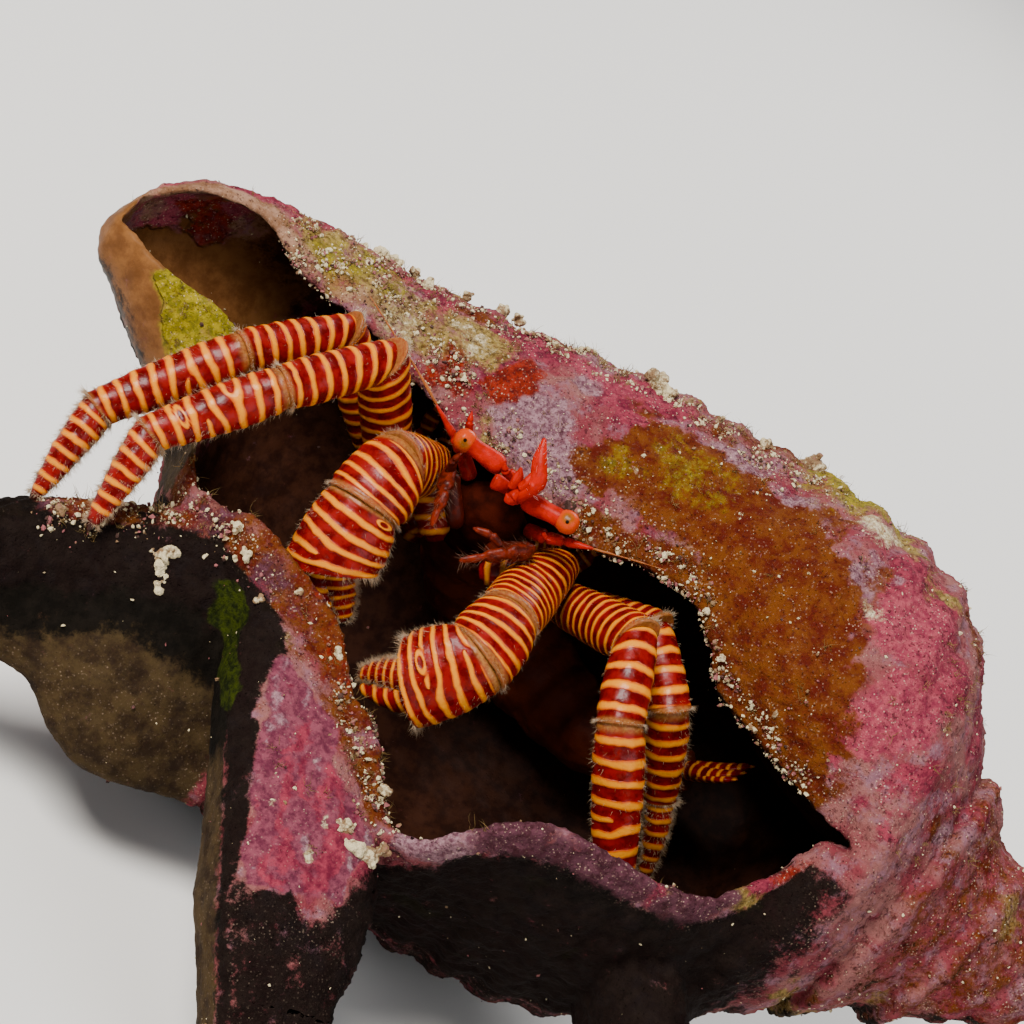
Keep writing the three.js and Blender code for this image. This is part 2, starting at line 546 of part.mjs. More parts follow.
/** Palm with its fixed finger, on the claw's outer side next to the movable one. */
function withFixedFinger(palm, limb) {
  const joints = limb.joints.map((p) => new THREE.Vector3(...p));
  const [wrist, knuckle, tip] = [joints[3], joints[4], joints[5]];
  const reach = tip.clone().sub(knuckle);
  const forward = reach.clone().normalize();
  const beside = new THREE.Vector3().crossVectors(forward, VIEWED).normalize().multiplyScalar(limb.outward);
  const start = knuckle.clone().lerp(wrist, 0.35).addScaledVector(beside, 2.6);
  const end = tip.clone().addScaledVector(beside, 1.9).addScaledVector(forward, -0.4);
  const bend = start.clone().lerp(end, 0.5).addScaledVector(beside, 0.7);
  const rings = sweep({
    path: [start, bend, end].map((p) => p.toArray()),
    wide: [2.2, 1.7, 0.5],
    thick: [2.4, 1.7, 0.5],
    across: [0, 1, 2].map(() => beside.toArray()),
    sides: 8,
    steps: 2,
  });
  const swing = limbBar(limb, SEGMENTS.length - 1, GAP);
  return largest(palm.add(solid(loft(rings)).subtract(swing)));
}

const SHELLS_RED = 0x9c1410;
const CRAB_ORANGE = 0xe8531a;
const PINK_CRUST = 0xb4607a;

const habit = new THREE.Group();
habit.position.set(...HOME);

function place(name, shape, colour, roughness = 0.45, metalness = 0) {
  const geometry = shape.isBufferGeometry ? shape : geometryOf(shape);
  const material = new THREE.MeshStandardMaterial({ color: colour, roughness, metalness });
  const mesh = new THREE.Mesh(geometry, material);
  mesh.name = name;
  habit.add(mesh);
}

place('shell_canal', canal, PINK_CRUST, 0.8);
place('shell_roof', roof, PINK_CRUST, 0.8);
place('shell_bowl', bowl, PINK_CRUST, 0.8);
place('shell_spire', spire, PINK_CRUST, 0.8);
place('shell_finger_left', finger(FINGER_LEFT), PINK_CRUST, 0.8);
place('shell_finger_front', finger(FINGER_FRONT), PINK_CRUST, 0.8);
place('shell_finger_right', finger(FINGER_RIGHT), PINK_CRUST, 0.8);

place('shield', carapace(0, SHIELD_LENGTH - GAP / 2), SHELLS_RED, 0.35);
place('carapace', carapace(SHIELD_LENGTH + GAP / 2, CARAPACE_LENGTH), SHELLS_RED, 0.5);

/** Round-sectioned piece between two spans of a path. */
function bodyLength({ path, radius }, [from, to], sides, steps) {
  const across = path.map(() => [0.2, 0.3, 1]);
  return solid(loft(sweep({ path, wide: radius, thick: radius, across, sides, steps, from, to })));
}

ABDOMEN_PARTS.forEach((span, i) => {
  const part = bodyLength(ABDOMEN, span, 9, 1.7).subtract(bodyClearance);
  place(`abdomen_${i + 1}`, largest(part), CRAB_ORANGE, 0.6);
});
place('tail_fan', solid(loft(sweep({ ...TAIL_FAN, sides: 8 }))), SHELLS_RED, 0.5);

/** Straight piece of revolution between two fractions of a line. */
function turned([base, tip], profile) {
  const a = new THREE.Vector3(...base);
  const b = new THREE.Vector3(...tip);
  const direction = b.clone().sub(a).normalize();
  const side = new THREE.Vector3().crossVectors(direction, VIEWED).normalize();
  const flat = new THREE.Vector3().crossVectors(side, direction);
  return solid(loft(profile.map(([u, r]) => oval(a.clone().lerp(b, u), side, flat, r, r, 10, 1))));
}

Object.entries(EYES).forEach(([which, line]) => {
  place(`eyestalk_${which}`, turned(line, STALK_RADIUS), CRAB_ORANGE, 0.3);
  place(`eye_${which}`, turned(line, CORNEA_RADIUS), CRAB_ORANGE, 0.12);
});

Object.entries(SPRIGS).forEach(([name, shape]) => {
  const piece = bodyLength(shape, [0, shape.path.length - 1], 6, 1.4).subtract(bodyClearance);
  place(name, largest(piece), CRAB_ORANGE, 0.35);
});

Object.entries(LIMBS).forEach(([name, limb]) => {
  SEGMENTS.forEach((segment, i) => {
    const shape = limbSegment(limb, i);
    const isPalm = name.startsWith('cheliped') && segment === 'propodus';
    place(`${name}_${segment}`, isPalm ? withFixedFinger(shape, limb) : largest(shape), SHELLS_RED, 0.3);
  });
});

export default habit;
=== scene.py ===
"""Look of a striped hermit crab leaning out of a crusted spider conch shell.

Shapes are set out in the crab's own frame, in millimetres, with its origin midway between the two eyes,
x along the shell toward its spire, y backward and z up.  HOME_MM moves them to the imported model's frame,
ROLL is how far the shell lies rolled back about x, and VIEWED points from the crab toward the camera.
"""

import json
import logging
import math
from dataclasses import dataclass, field
from enum import Enum
from typing import Callable, Optional, Sequence

import bpy
import numpy as np
from mathutils import Matrix, Vector
from mathutils.geometry import tessellate_polygon

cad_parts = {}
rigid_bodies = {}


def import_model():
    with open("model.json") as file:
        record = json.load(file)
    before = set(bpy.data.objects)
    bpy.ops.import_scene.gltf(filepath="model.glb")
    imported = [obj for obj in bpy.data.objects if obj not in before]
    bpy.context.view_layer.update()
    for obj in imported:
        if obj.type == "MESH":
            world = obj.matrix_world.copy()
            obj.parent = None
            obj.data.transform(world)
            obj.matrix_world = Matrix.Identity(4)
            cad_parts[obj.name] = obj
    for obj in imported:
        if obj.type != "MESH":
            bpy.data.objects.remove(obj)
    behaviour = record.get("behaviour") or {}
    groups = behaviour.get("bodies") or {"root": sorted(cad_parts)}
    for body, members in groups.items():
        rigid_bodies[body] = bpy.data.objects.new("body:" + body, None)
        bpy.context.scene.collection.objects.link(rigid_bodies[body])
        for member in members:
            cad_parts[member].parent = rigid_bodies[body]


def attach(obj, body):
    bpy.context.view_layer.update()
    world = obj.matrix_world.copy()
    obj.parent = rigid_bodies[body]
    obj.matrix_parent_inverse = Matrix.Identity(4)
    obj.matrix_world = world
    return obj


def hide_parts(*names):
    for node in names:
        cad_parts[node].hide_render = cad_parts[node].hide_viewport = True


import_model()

Array = np.ndarray
Curve = Callable[[Array], Array]
Socket = bpy.types.NodeSocket
Piece = bpy.types.Object
LOG = logging.getLogger("hermit_crab")

HOME_MM = np.array([-11.3, 12.2, 57.8])
MM = 0.001
ROLL = math.radians(25.0)
VIEWED = np.array([0.0, -0.906, 0.423])
UP = np.array([0.0, 0.0, 1.0])
ALONG = np.array([1.0, 0.0, 0.0])
TAU = 2.0 * math.pi


# --------------------------------------------------------------------------- numbers and noise

def knot_curve(knots: Sequence[Sequence[float]]) -> Curve:
    """Smooth function through knots that never overshoots between them.

    Cubic Hermite pieces; the slope at an inner knot is the harmonic mean of the slopes of the two
    straight pieces beside it, or nothing where they differ in sign.

    Args:
        knots: (place, value) pairs in rising order of place.

    Returns:
        A function of an array of places.
    """
    x, y = np.asarray(knots, float).T
    rise = np.diff(y) / np.diff(x)
    slope = np.zeros_like(y)
    a, b = rise[:-1], rise[1:]
    same = a * b > 0
    slope[1:-1][same] = 2 * a[same] * b[same] / (a[same] + b[same])

    def at(q: Array) -> Array:
        """Value of the curve at q, held level beyond both ends."""
        q = np.clip(np.asarray(q, float), x[0], x[-1])
        i = np.clip(np.searchsorted(x, q, side="right") - 1, 0, len(x) - 2)
        span = x[i + 1] - x[i]
        u = (q - x[i]) / span
        u2, u3 = u * u, u * u * u
        return (y[i] * (2 * u3 - 3 * u2 + 1) + slope[i] * span * (u3 - 2 * u2 + u)
                + y[i + 1] * (3 * u2 - 2 * u3) + slope[i + 1] * span * (u3 - u2))

    return at


def smoothstep(q: Array, low: float, high: float) -> Array:
    """0 below low, 1 above high, and the cubic 3u^2 - 2u^3 between."""
    u = np.clip((np.asarray(q, float) - low) / (high - low), 0, 1)
    return u * u * (3 - 2 * u)


def unit(v: Array) -> Array:
    """Vectors scaled to length 1 along the last axis."""
    return v / np.maximum(np.linalg.norm(v, axis=-1, keepdims=True), 1e-12)


def path_points(path: Sequence[Sequence[float]], u: Array) -> Array:
    """Points on the uniform Catmull-Rom curve through a path; u counts path points from 0."""
    p = np.asarray(path, float)
    p = np.vstack([2 * p[0] - p[1], p, 2 * p[-1] - p[-2]])
    i = np.clip(np.floor(u).astype(int), 0, len(path) - 2)
    w = (u - i)[:, None]
    a, b, c, d = p[i], p[i + 1], p[i + 2], p[i + 3]
    square, cube = 2 * a - 5 * b + 4 * c - d, 3 * b - a - 3 * c + d
    return 0.5 * (2 * b + (c - a) * w + square * w ** 2 + cube * w ** 3)


def _hash(cell: Array, seed: int) -> Array:
    """Repeatable number from 0 to 1 for each whole-numbered lattice cell."""
    h = (cell[..., 0] * 73856093) ^ (cell[..., 1] * 19349663) ^ (cell[..., 2] * 83492791)
    h = h ^ (seed * 2654435761)
    h = (h ^ (h >> 13)) * 1274126177
    h = h & 0x7FFFFFFF
    h = (h ^ (h >> 16)) * 668265263
    return ((h & 0x7FFFFFFF) % 1000003) / 1000003.0


def lattice_noise(p: Array, size: float, seed: int = 0) -> Array:
    """Smooth noise from -1 to 1: random corner values blended over each lattice cell of the given size."""
    q = p / size
    cell = np.floor(q).astype(np.int64)
    f = q - cell
    w = f * f * (3 - 2 * f)
    total = np.zeros(len(p))
    for corner in np.ndindex(2, 2, 2):
        c = np.array(corner)
        weight = np.prod(np.where(c == 1, w, 1 - w), axis=1)
        total += weight * _hash(cell + c, seed)
    return 2 * total - 1


def layered_noise(p: Array, size: float, layers: int = 4, seed: int = 0, gain: float = 0.5) -> Array:
    """Sum of lattice noises, each half the size and gain times the height of the one before."""
    total = np.zeros(len(p))
    height = 1.0
    for k in range(layers):
        total += height * lattice_noise(p, size / 2 ** k, seed + 17 * k)
        height *= gain
    return total


def cloud(p: Array, size: float, layers: int, seed: int, low: float, high: float) -> Array:
    """Shares of a layered noise, 0 where it is below low and 1 where it is above high."""
    return smoothstep(layered_noise(p, size, layers, seed), low, high)


def cell_distance(p: Array, size: float, seed: int = 0) -> Array:
    """Distance, in cell sizes, from each point to the nearest of one random seed point per lattice cell."""
    q = p / size
    cell = np.floor(q).astype(np.int64)
    best = np.full(len(p), 9.0)
    for step in np.ndindex(3, 3, 3):
        c = cell + np.array(step) - 1
        spot = c + np.stack([_hash(c, seed + k) for k in (1, 2, 3)], axis=1)
        best = np.minimum(best, ((spot - q) ** 2).sum(1))
    return np.sqrt(best)


# --------------------------------------------------------------------------- meshes

class Surface:
    """Points, faces and point values of several sheets, gathered into one mesh."""

    def __init__(self) -> None:
        """Starts an empty surface."""
        self.points: list[Array] = []
        self.quads: list[Array] = []
        self.tris: list[Array] = []
        self.values: dict[str, list[Array]] = {}
        self.count = 0

    def _keep(self, points: Array, values: dict[str, Array]) -> int:
        """Adds points and their values, and returns the first one's number."""
        start = self.count
        self.points.append(points)
        for name in set(self.values) | set(values):
            column = self.values.setdefault(name, [np.zeros(start)] if start else [])
            column.append(np.asarray(values.get(name, np.zeros(len(points))), float))
        self.count += len(points)
        return start

    def tube(self, rings: Array, **values: Array) -> "Surface":
        """Adds a closed tube: quads between equal rings, and a fan over each end.

        Args:
            rings: points, shaped (rings, points round, 3).
            **values: point values, shaped (rings, points round).

        Returns:
            This surface.
        """
        n, m, _ = rings.shape
        ends = np.stack([rings[0].mean(0), rings[-1].mean(0)])
        flat = {k: np.concatenate([v.ravel(), [v[0].mean(), v[-1].mean()]]) for k, v in values.items()}
        i, j = np.meshgrid(np.arange(n - 1), np.arange(m), indexing="ij")
        k = (j + 1) % m
        quads = np.stack([i * m + j, i * m + k, (i + 1) * m + k, (i + 1) * m + j], -1).reshape(-1, 4)
        a = np.arange(m)
        b = (a + 1) % m
        first = np.stack([np.full(m, n * m), b, a], -1)
        last = np.stack([np.full(m, n * m + 1), (n - 1) * m + a, (n - 1) * m + b], -1)
        tris = np.concatenate([first, last])
        points = np.concatenate([rings.reshape(-1, 3), ends])
        p, q, r, s = (points[quads[:, c]] for c in range(4))
        volume = np.einsum("ij,ij->", p, np.cross(q, r)) + np.einsum("ij,ij->", p, np.cross(r, s))
        if volume < 0:
            quads, tris = quads[:, ::-1], tris[:, ::-1]
        start = self._keep(points, flat)
        self.quads.append(quads + start)
        self.tris.append(tris + start)
        return self

    def copies(self, points: Array, faces: Array, **values: Array) -> "Surface":
        """Adds many small closed shapes at once.

        Args:
            points: each copy's own points, shaped (copies, points, 3).
            faces: the triangles of one copy.
            **values: one value for each point of each copy, shaped (copies, points).

        Returns:
            This surface.
        """
        n, m, _ = points.shape
        start = self._keep(points.reshape(-1, 3), {k: v.ravel() for k, v in values.items()})
        self.tris.append((faces[None] + np.arange(n)[:, None, None] * m).reshape(-1, 3) + start)
        return self

    def build(self, name: str, material: Optional[bpy.types.Material] = None) -> Piece:
        """Makes the object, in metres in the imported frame, and links it to the scene.

        Args:
            name: the object's name.
            material: its finish.

        Returns:
            The object.
        """
        quads = np.concatenate(self.quads) if self.quads else np.zeros((0, 4), int)
        tris = np.concatenate(self.tris) if self.tris else np.zeros((0, 3), int)
        mesh = mesh_of(name, (np.concatenate(self.points) + HOME_MM) * MM, quads, tris)
        for key, column in self.values.items():
            set_value(mesh, key, np.concatenate(column))
        return link(name, mesh, material)


def mesh_of(name: str, points: Array, quads: Array, tris: Array) -> bpy.types.Mesh:
    """Mesh from arrays of points, four-sided faces and three-sided faces, shaded smooth."""
    mesh = bpy.data.meshes.new(name)
    corners = np.concatenate([quads.ravel(), tris.ravel()]).astype(np.int32)
    totals = np.concatenate([np.full(len(quads), 4), np.full(len(tris), 3)]).astype(np.int32)
    starts = np.concatenate([[0], np.cumsum(totals)[:-1]]).astype(np.int32)
    mesh.vertices.add(len(points))
    mesh.vertices.foreach_set("co", points.astype(np.float32).ravel())
    mesh.loops.add(len(corners))
    mesh.loops.foreach_set("vertex_index", corners)
    mesh.polygons.add(len(totals))
    mesh.polygons.foreach_set("loop_start", starts)
    mesh.update(calc_edges=True)
    mesh.polygons.foreach_set("use_smooth", np.ones(len(totals), bool))
    mesh.update()
    return mesh


def link(name: str, mesh: bpy.types.Mesh, material: Optional[bpy.types.Material]) -> Piece:
    """Object for a mesh, in the scene, wearing a material."""
    piece = bpy.data.objects.new(name, mesh)
    bpy.context.scene.collection.objects.link(piece)
    if material:
        mesh.materials.append(material)
    return piece


def applied(piece: Piece, kind: str, **settings: object) -> None:
    """Adds one modifier to a piece and applies it."""
    modifier = piece.modifiers.new(kind.lower(), kind)
    for key, value in settings.items():
        setattr(modifier, key, value)
    graph = bpy.context.evaluated_depsgraph_get()
    mesh = bpy.data.meshes.new_from_object(piece.evaluated_get(graph), depsgraph=graph)
    piece.modifiers.clear()
    old = piece.data
    piece.data = mesh
    bpy.data.meshes.remove(old)


def read(rows: object, what: str, count: int, kind: type = np.float32) -> Array:
    """One property of each of a mesh's rows, as a flat array of count numbers."""
    flat = np.empty(count, kind)
    rows.foreach_get(what, flat)
    return flat


def points_of(mesh: bpy.types.Mesh) -> Array:
    """A mesh's points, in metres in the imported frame."""
    return read(mesh.vertices, "co", 3 * len(mesh.vertices)).reshape(-1, 3).astype(float)


def normals_of(mesh: bpy.types.Mesh) -> Array:
    """A mesh's point normals."""
    return read(mesh.vertex_normals, "vector", 3 * len(mesh.vertices)).reshape(-1, 3).astype(float)


def crab_points(mesh: bpy.types.Mesh) -> Array:
    """A mesh's points, in mm in the crab's frame."""
    return points_of(mesh) / MM - HOME_MM


def move_points(mesh: bpy.types.Mesh, points: Array) -> None:
    """Moves a mesh's points to new ones, given in mm in the crab's frame."""
    mesh.vertices.foreach_set("co", ((points + HOME_MM) * MM).astype(np.float32).ravel())
    mesh.update()


def value_of(mesh: bpy.types.Mesh, name: str) -> Array:
    """One point value of a mesh."""
    return read(mesh.attributes[name].data, "value", len(mesh.vertices))


def set_value(mesh: bpy.types.Mesh, name: str, values: Array) -> None:
    """Gives a mesh one value for each of its points."""
    mesh.attributes.new(name, "FLOAT", "POINT").data.foreach_set("value", values.astype(np.float32))


def placed(piece: Piece, slot: str, *nodes: str) -> None:
    """Fixes a finished piece to the body, hides the nodes it stands for, and logs it."""
    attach(piece, "root")
    if nodes:
        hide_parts(*nodes)
    LOG.info("%s: %d faces", piece.name, len(piece.data.polygons))


def corners_of(mesh: bpy.types.Mesh) -> Array:
    """A four-sided mesh's faces as rows of point numbers; a triangle repeats its last."""
    loops = read(mesh.loops, "vertex_index", len(mesh.loops), np.int32)
    start = read(mesh.polygons, "loop_start", len(mesh.polygons), np.int32)
    total = read(mesh.polygons, "loop_total", len(mesh.polygons), np.int32)
    step = np.minimum(np.arange(4)[None], total[:, None] - 1)
    return loops[start[:, None] + step]


def squared(sides: int, power: float) -> tuple[Array, Array]:
    """Cosines and sines round a ring, raised to a power that keeps their signs."""
    a = TAU * (np.arange(sides) + 0.5) / sides
    return tuple(np.sign(f(a)) * np.abs(f(a)) ** power for f in (np.cos, np.sin))


def swept(centres: Array, hint: Array, wide: Array, thick: Array, sides: int, power: float = 1.0) -> Array:
    """Rings along a line of centres.

    A ring's point is centre + wide * cos(a)^power * side + thick * sin(a)^power * up, where up is
    perpendicular to the line and the hint, and side lies nearest to the hint.

    Args:
        centres: points on the line, shaped (n, 3).
        hint: one direction, or one for each centre, that the wide axis keeps to.
        wide: half-width at each centre.
        thick: half-thickness at each centre.
        sides: points round each ring.
        power: 1 for an ellipse, less for a squarer section.

    Returns:
        Rings shaped (n, sides, 3).
    """
    line = unit(np.gradient(centres, axis=0))
    up = unit(np.cross(line, np.broadcast_to(hint, centres.shape)))
    side = np.cross(up, line)
    c, s = squared(sides, power)
    across = (np.asarray(wide)[:, None] * c[None])[..., None] * side[:, None]
    over = (np.asarray(thick)[:, None] * s[None])[..., None] * up[:, None]
    return centres[:, None] + across + over


# --------------------------------------------------------------------------- materials

def linear(code: str) -> tuple[float, float, float, float]:
    """sRGB hex colour as linear red, green, blue and an alpha of 1."""
    parts = [int(code[i:i + 2], 16) / 255 for i in (1, 3, 5)]
    return tuple([c / 12.92 if c <= 0.04045 else ((c + 0.055) / 1.055) ** 2.4 for c in parts] + [1.0])


def plug(tree: bpy.types.NodeTree, socket: Socket, value: object) -> None:
    """Sets a socket to a value or a hex colour, or links another node's output to it."""
    if isinstance(value, Socket):
        tree.links.new(value, socket)
    else:
        socket.default_value = linear(value) if isinstance(value, str) else value


def add(tree: bpy.types.NodeTree, kind: str, inputs: Optional[dict] = None,
        **settings: object) -> bpy.types.Node:
    """Adds one shader node.

    Args:
        tree: the material's nodes.
        kind: the node's type name without "ShaderNode".
        inputs: socket name or number to a value, a hex colour or another node's output socket.
        **settings: the node's own properties.

    Returns:
        The node.
    """
    node = tree.nodes.new("ShaderNode" + kind)
    for key, value in settings.items():
        setattr(node, key, value)
    for key, value in (inputs or {}).items():
        plug(tree, node.inputs[key], value)
    return node


class Recipe:
    """A material being mixed: its node tree, its shader and a few common steps."""

    def __init__(self, name: str, **shader: object) -> None:
        """Starts a material with one principled shader.

        Args:
            name: the material's name.
            **shader: the shader's sockets, with underscores for the spaces in their names.
        """
        self.material = bpy.data.materials.new(name)
        self.material.use_nodes = True
        self.tree = self.material.node_tree
        self.tree.nodes.clear()
        sockets = {k.replace("_", " "): v for k, v in shader.items()}
        self.shader = add(self.tree, "BsdfPrincipled", sockets)
        add(self.tree, "OutputMaterial", {"Surface": self.shader.outputs[0]})
        self.place = add(self.tree, "TexCoord").outputs["Object"]

    def value(self, name: str) -> Socket:
        """A point value of the mesh."""
        return add(self.tree, "Attribute", attribute_name=name).outputs["Fac"]

    def noise(self, size_mm: float, detail: float = 3.0, rough: float = 0.55, warp: float = 0.0) -> Socket:
        """Cloudy noise from 0 to 1 whose lumps are about size_mm across."""
        node = add(self.tree, "TexNoise", {"Vector": self.place, "Scale": 1000.0 / size_mm, "Detail": detail,
                                           "Roughness": rough, "Distortion": warp})
        return node.outputs["Fac"]

    def cells(self, size_mm: float) -> Socket:
        """Distance to the nearest of scattered points about size_mm apart."""
        node = add(self.tree, "TexVoronoi", {"Vector": self.place, "Scale": 1000.0 / size_mm})
        return node.outputs["Distance"]

    def ramp(self, value: object, low: float, high: float, out: tuple[float, float] = (0.0, 1.0)) -> Socket:
        """A value's range from low to high spread smoothly over out."""
        sockets = {"Value": value, "From Min": low, "From Max": high, "To Min": out[0], "To Max": out[1]}
        return add(self.tree, "MapRange", sockets, interpolation_type="SMOOTHSTEP").outputs[0]

    def plus(self, a: object, b: object, clamp: bool = False) -> Socket:
        """a + b, held between 0 and 1 where clamp is set."""
        return add(self.tree, "Math", {0: a, 1: b}, operation="ADD", use_clamp=clamp).outputs[0]

    def less(self, a: object, b: object, clamp: bool = False) -> Socket:
        """a - b, held between 0 and 1 where clamp is set."""
        return add(self.tree, "Math", {0: a, 1: b}, operation="SUBTRACT", use_clamp=clamp).outputs[0]

    def times(self, a: object, b: object) -> Socket:
        """a * b."""
        return add(self.tree, "Math", {0: a, 1: b}, operation="MULTIPLY").outputs[0]

    def most(self, a: object, b: object) -> Socket:
        """The larger of a and b."""
        return add(self.tree, "Math", {0: a, 1: b}, operation="MAXIMUM").outputs[0]

    def mix(self, share: object, a: object, b: object) -> Socket:
        """Colour a turning into colour b by a share from 0 to 1."""
        node = add(self.tree, "Mix", {"Factor": share}, data_type="RGBA")
        for socket, colour in ((node.inputs[6], a), (node.inputs[7], b)):
            plug(self.tree, socket, colour)
        return node.outputs[2]

    def finish(self, colour: object, rough: object = None, height: object = None,
               depth_mm: float = 0.1) -> bpy.types.Material:
        """Sets the colour, and the roughness and relief where given.

        Args:
            colour: hex colour or a socket.
            rough: roughness or a socket.
            height: relief from 0 to 1.
            depth_mm: how deep the relief is.

        Returns:
            The material.
        """
        plug(self.tree, self.shader.inputs["Base Color"], colour)
        if rough is not None:
            plug(self.tree, self.shader.inputs["Roughness"], rough)
        if height is not None:
            bump = add(self.tree, "Bump", {"Strength": 1.0, "Distance": depth_mm * MM, "Height": height})
            plug(self.tree, self.shader.inputs["Normal"], bump.outputs[0])
        return self.material


@dataclass(frozen=True)
class Growth:
    """One kind of growth, bare surface or painted shade on the shell, named after its point value.

    Its colours mix in grains of grain_mm, and it fades out over a span of edge in its point value.
    """

    name: str
    pale: str
    deep: str
    grain_mm: float
    edge: float = 0.5


@dataclass(frozen=True)
class CorallineCrust:
    """Chalky coralline crust over aragonite shell, with sand, sponge and weed grown into it.

    The crust is matt and lumpy at every scale, from plates of several mm down to grains of 0.3 mm, and
    only the bare porcelain inside the canal has some gloss.
    """

    pinks: tuple[str, str, str, str] = ("#6e2c33", "#7c4e4a", "#78525c", "#40161b")
    fleck: str = "#c8ab92"
    shadow: str = "#2a0f14"
    pit: str = "#1c0a0c"
    growths: tuple[Growth, ...] = (
        Growth("mauve", "#743a46", "#501e2e", 1.1),
        Growth("magenta", "#84303e", "#561426", 1.4),
        Growth("lilac", "#8c6a70", "#55343e", 0.7),
        Growth("sand", "#8c753e", "#524019", 0.7),
        Growth("rust", "#5e300a", "#481004", 2.2),
        Growth("rose", "#92404a", "#702436", 0.9),
        Growth("sponge", "#7c1e0c", "#440a07", 1.2),
        Growth("peach", "#93705a", "#6c4a32", 2.4),
        Growth("cream", "#744b26", "#583517", 4.0),
        Growth("green", "#8a7a10", "#5a540e", 1.0, 0.8),
        Growth("white", "#c4b898", "#8a744e", 0.6, 0.4),
        Growth("plum", "#54303a", "#34181e", 1.3),
        # Bare grey shell, darkened partly as painted shade where it lies on shaded faces.
        Growth("grey", "#3a2e1a", "#1e160c", 3.0),
        # Near black: partly dark algae, partly painted shade on faces that turn down or lie in shade.
        Growth("murk", "#100c08", "#070503", 1.6),
        Growth("moss", "#2b3206", "#0f1403", 0.9),
        Growth("hollow", "#3c2114", "#24120a", 2.4),
    )

    def material(self) -> bpy.types.Material:
        """Builds the finish: a pink base, each growth laid over it by its point value, and fine relief."""
        r = Recipe("coralline_crust_on_shell", Roughness=0.78, Specular_IOR_Level=0.05)
        broad = r.noise(7.0, 4.0, 0.6, 0.6)
        fine = r.noise(1.1, 5.0, 0.65)
        grit = r.noise(0.32, 3.0, 0.6)
        torn = r.noise(2.6, 7.0, 0.8)
        pits = r.ramp(r.cells(0.6), 0.05, 0.2)
        colour = r.mix(r.ramp(broad, 0.38, 0.62), self.pinks[0], self.pinks[1])
        colour = r.mix(r.ramp(r.noise(3.3, 5.0, 0.7), 0.48, 0.66), colour, self.pinks[2])
        colour = r.mix(r.ramp(fine, 0.54, 0.7, (0.0, 0.7)), colour, self.pinks[3])
        for growth in self.growths:
            ragged = r.plus(r.value(growth.name), r.times(r.less(torn, 0.5), 2.4))
            share = r.ramp(ragged, 0.5 - growth.edge / 2, 0.5 + growth.edge / 2, (0.0, 0.98))
            held = r.times(share, r.ramp(r.value(growth.name), 0.02, 0.2))
            inner = r.noise(growth.grain_mm, 5.0, 0.68)
            colour = r.mix(held, colour, r.mix(r.ramp(inner, 0.36, 0.64), growth.deep, growth.pale))
        bare = r.ramp(r.plus(r.value("cream"), r.value("hollow")), 0.4, 0.8)
        smooth = r.plus(r.times(r.value("grey"), 0.75), r.times(r.value("mauve"), 0.7))
        still = r.plus(bare, r.value("murk"))
        calm = r.less(1.0, r.plus(smooth, still), True)
        calm = r.times(calm, r.ramp(r.value("rust"), 0.7, 1.2, (1.0, 0.45)))
        calm = r.times(calm, r.ramp(r.noise(3.0, 2.0), 0.36, 0.6, (0.35, 1.0)))
        dots = r.times(r.ramp(r.cells(0.5), 0.26, 0.14), r.ramp(r.noise(1.3, 3.0, 0.7), 0.44, 0.56))
        speck = r.times(r.most(dots, r.ramp(grit, 0.6, 0.72, (0.0, 0.6))), calm)
        colour = r.mix(r.times(speck, 0.62), colour, self.fleck)
        dark = r.times(r.ramp(r.noise(0.55, 2.0), 0.44, 0.32), calm)
        colour = r.mix(r.times(dark, 0.7), colour, self.shadow)
        # Painted shade: the pits that the relief presses in are darkened.
        shaded_pits = r.times(r.less(1.0, pits), calm)
        colour = r.mix(r.times(shaded_pits, 0.7), colour, self.pit)
        rough = r.ramp(bare, 0.0, 1.0, (0.8, 0.45))
        relief = r.plus(r.times(fine, 0.6), r.times(grit, 0.5))
        relief = r.plus(relief, r.times(pits, 0.4))
        relief = r.times(relief, r.ramp(bare, 0.0, 1.0, (1.0, 0.12)))
        relief = r.times(relief, r.ramp(smooth, 0.0, 0.75, (1.0, 0.35)))
        return r.finish(colour, rough, relief, 0.42)


@dataclass(frozen=True)
class SandGrain:
    """Sand, shell grit and lumps of crust: matt grains whose tone changes from one to the next."""

    tones: tuple[str, str, str, str] = ("#3a2016", "#7a5c3c", "#c8b890", "#8a4c4c")

    def material(self) -> bpy.types.Material:
        """Builds the finish from the point value tone, 0 to 1 from grain to grain."""
        r = Recipe("sand_and_shell_grit", Roughness=0.7, Specular_IOR_Level=0.4)
        tone = r.plus(r.value("tone"), r.times(r.less(r.noise(0.6, 4.0, 0.7), 0.5), 0.9))
        colour = r.mix(r.ramp(tone, 0.06, 0.16), self.tones[0], self.tones[3])
        colour = r.mix(r.ramp(tone, 0.26, 0.38), colour, self.tones[1])
        colour = r.mix(r.ramp(tone, 0.46, 0.66), colour, self.tones[2])
        return r.finish(colour, None, r.noise(0.22, 4.0, 0.7), 0.16)


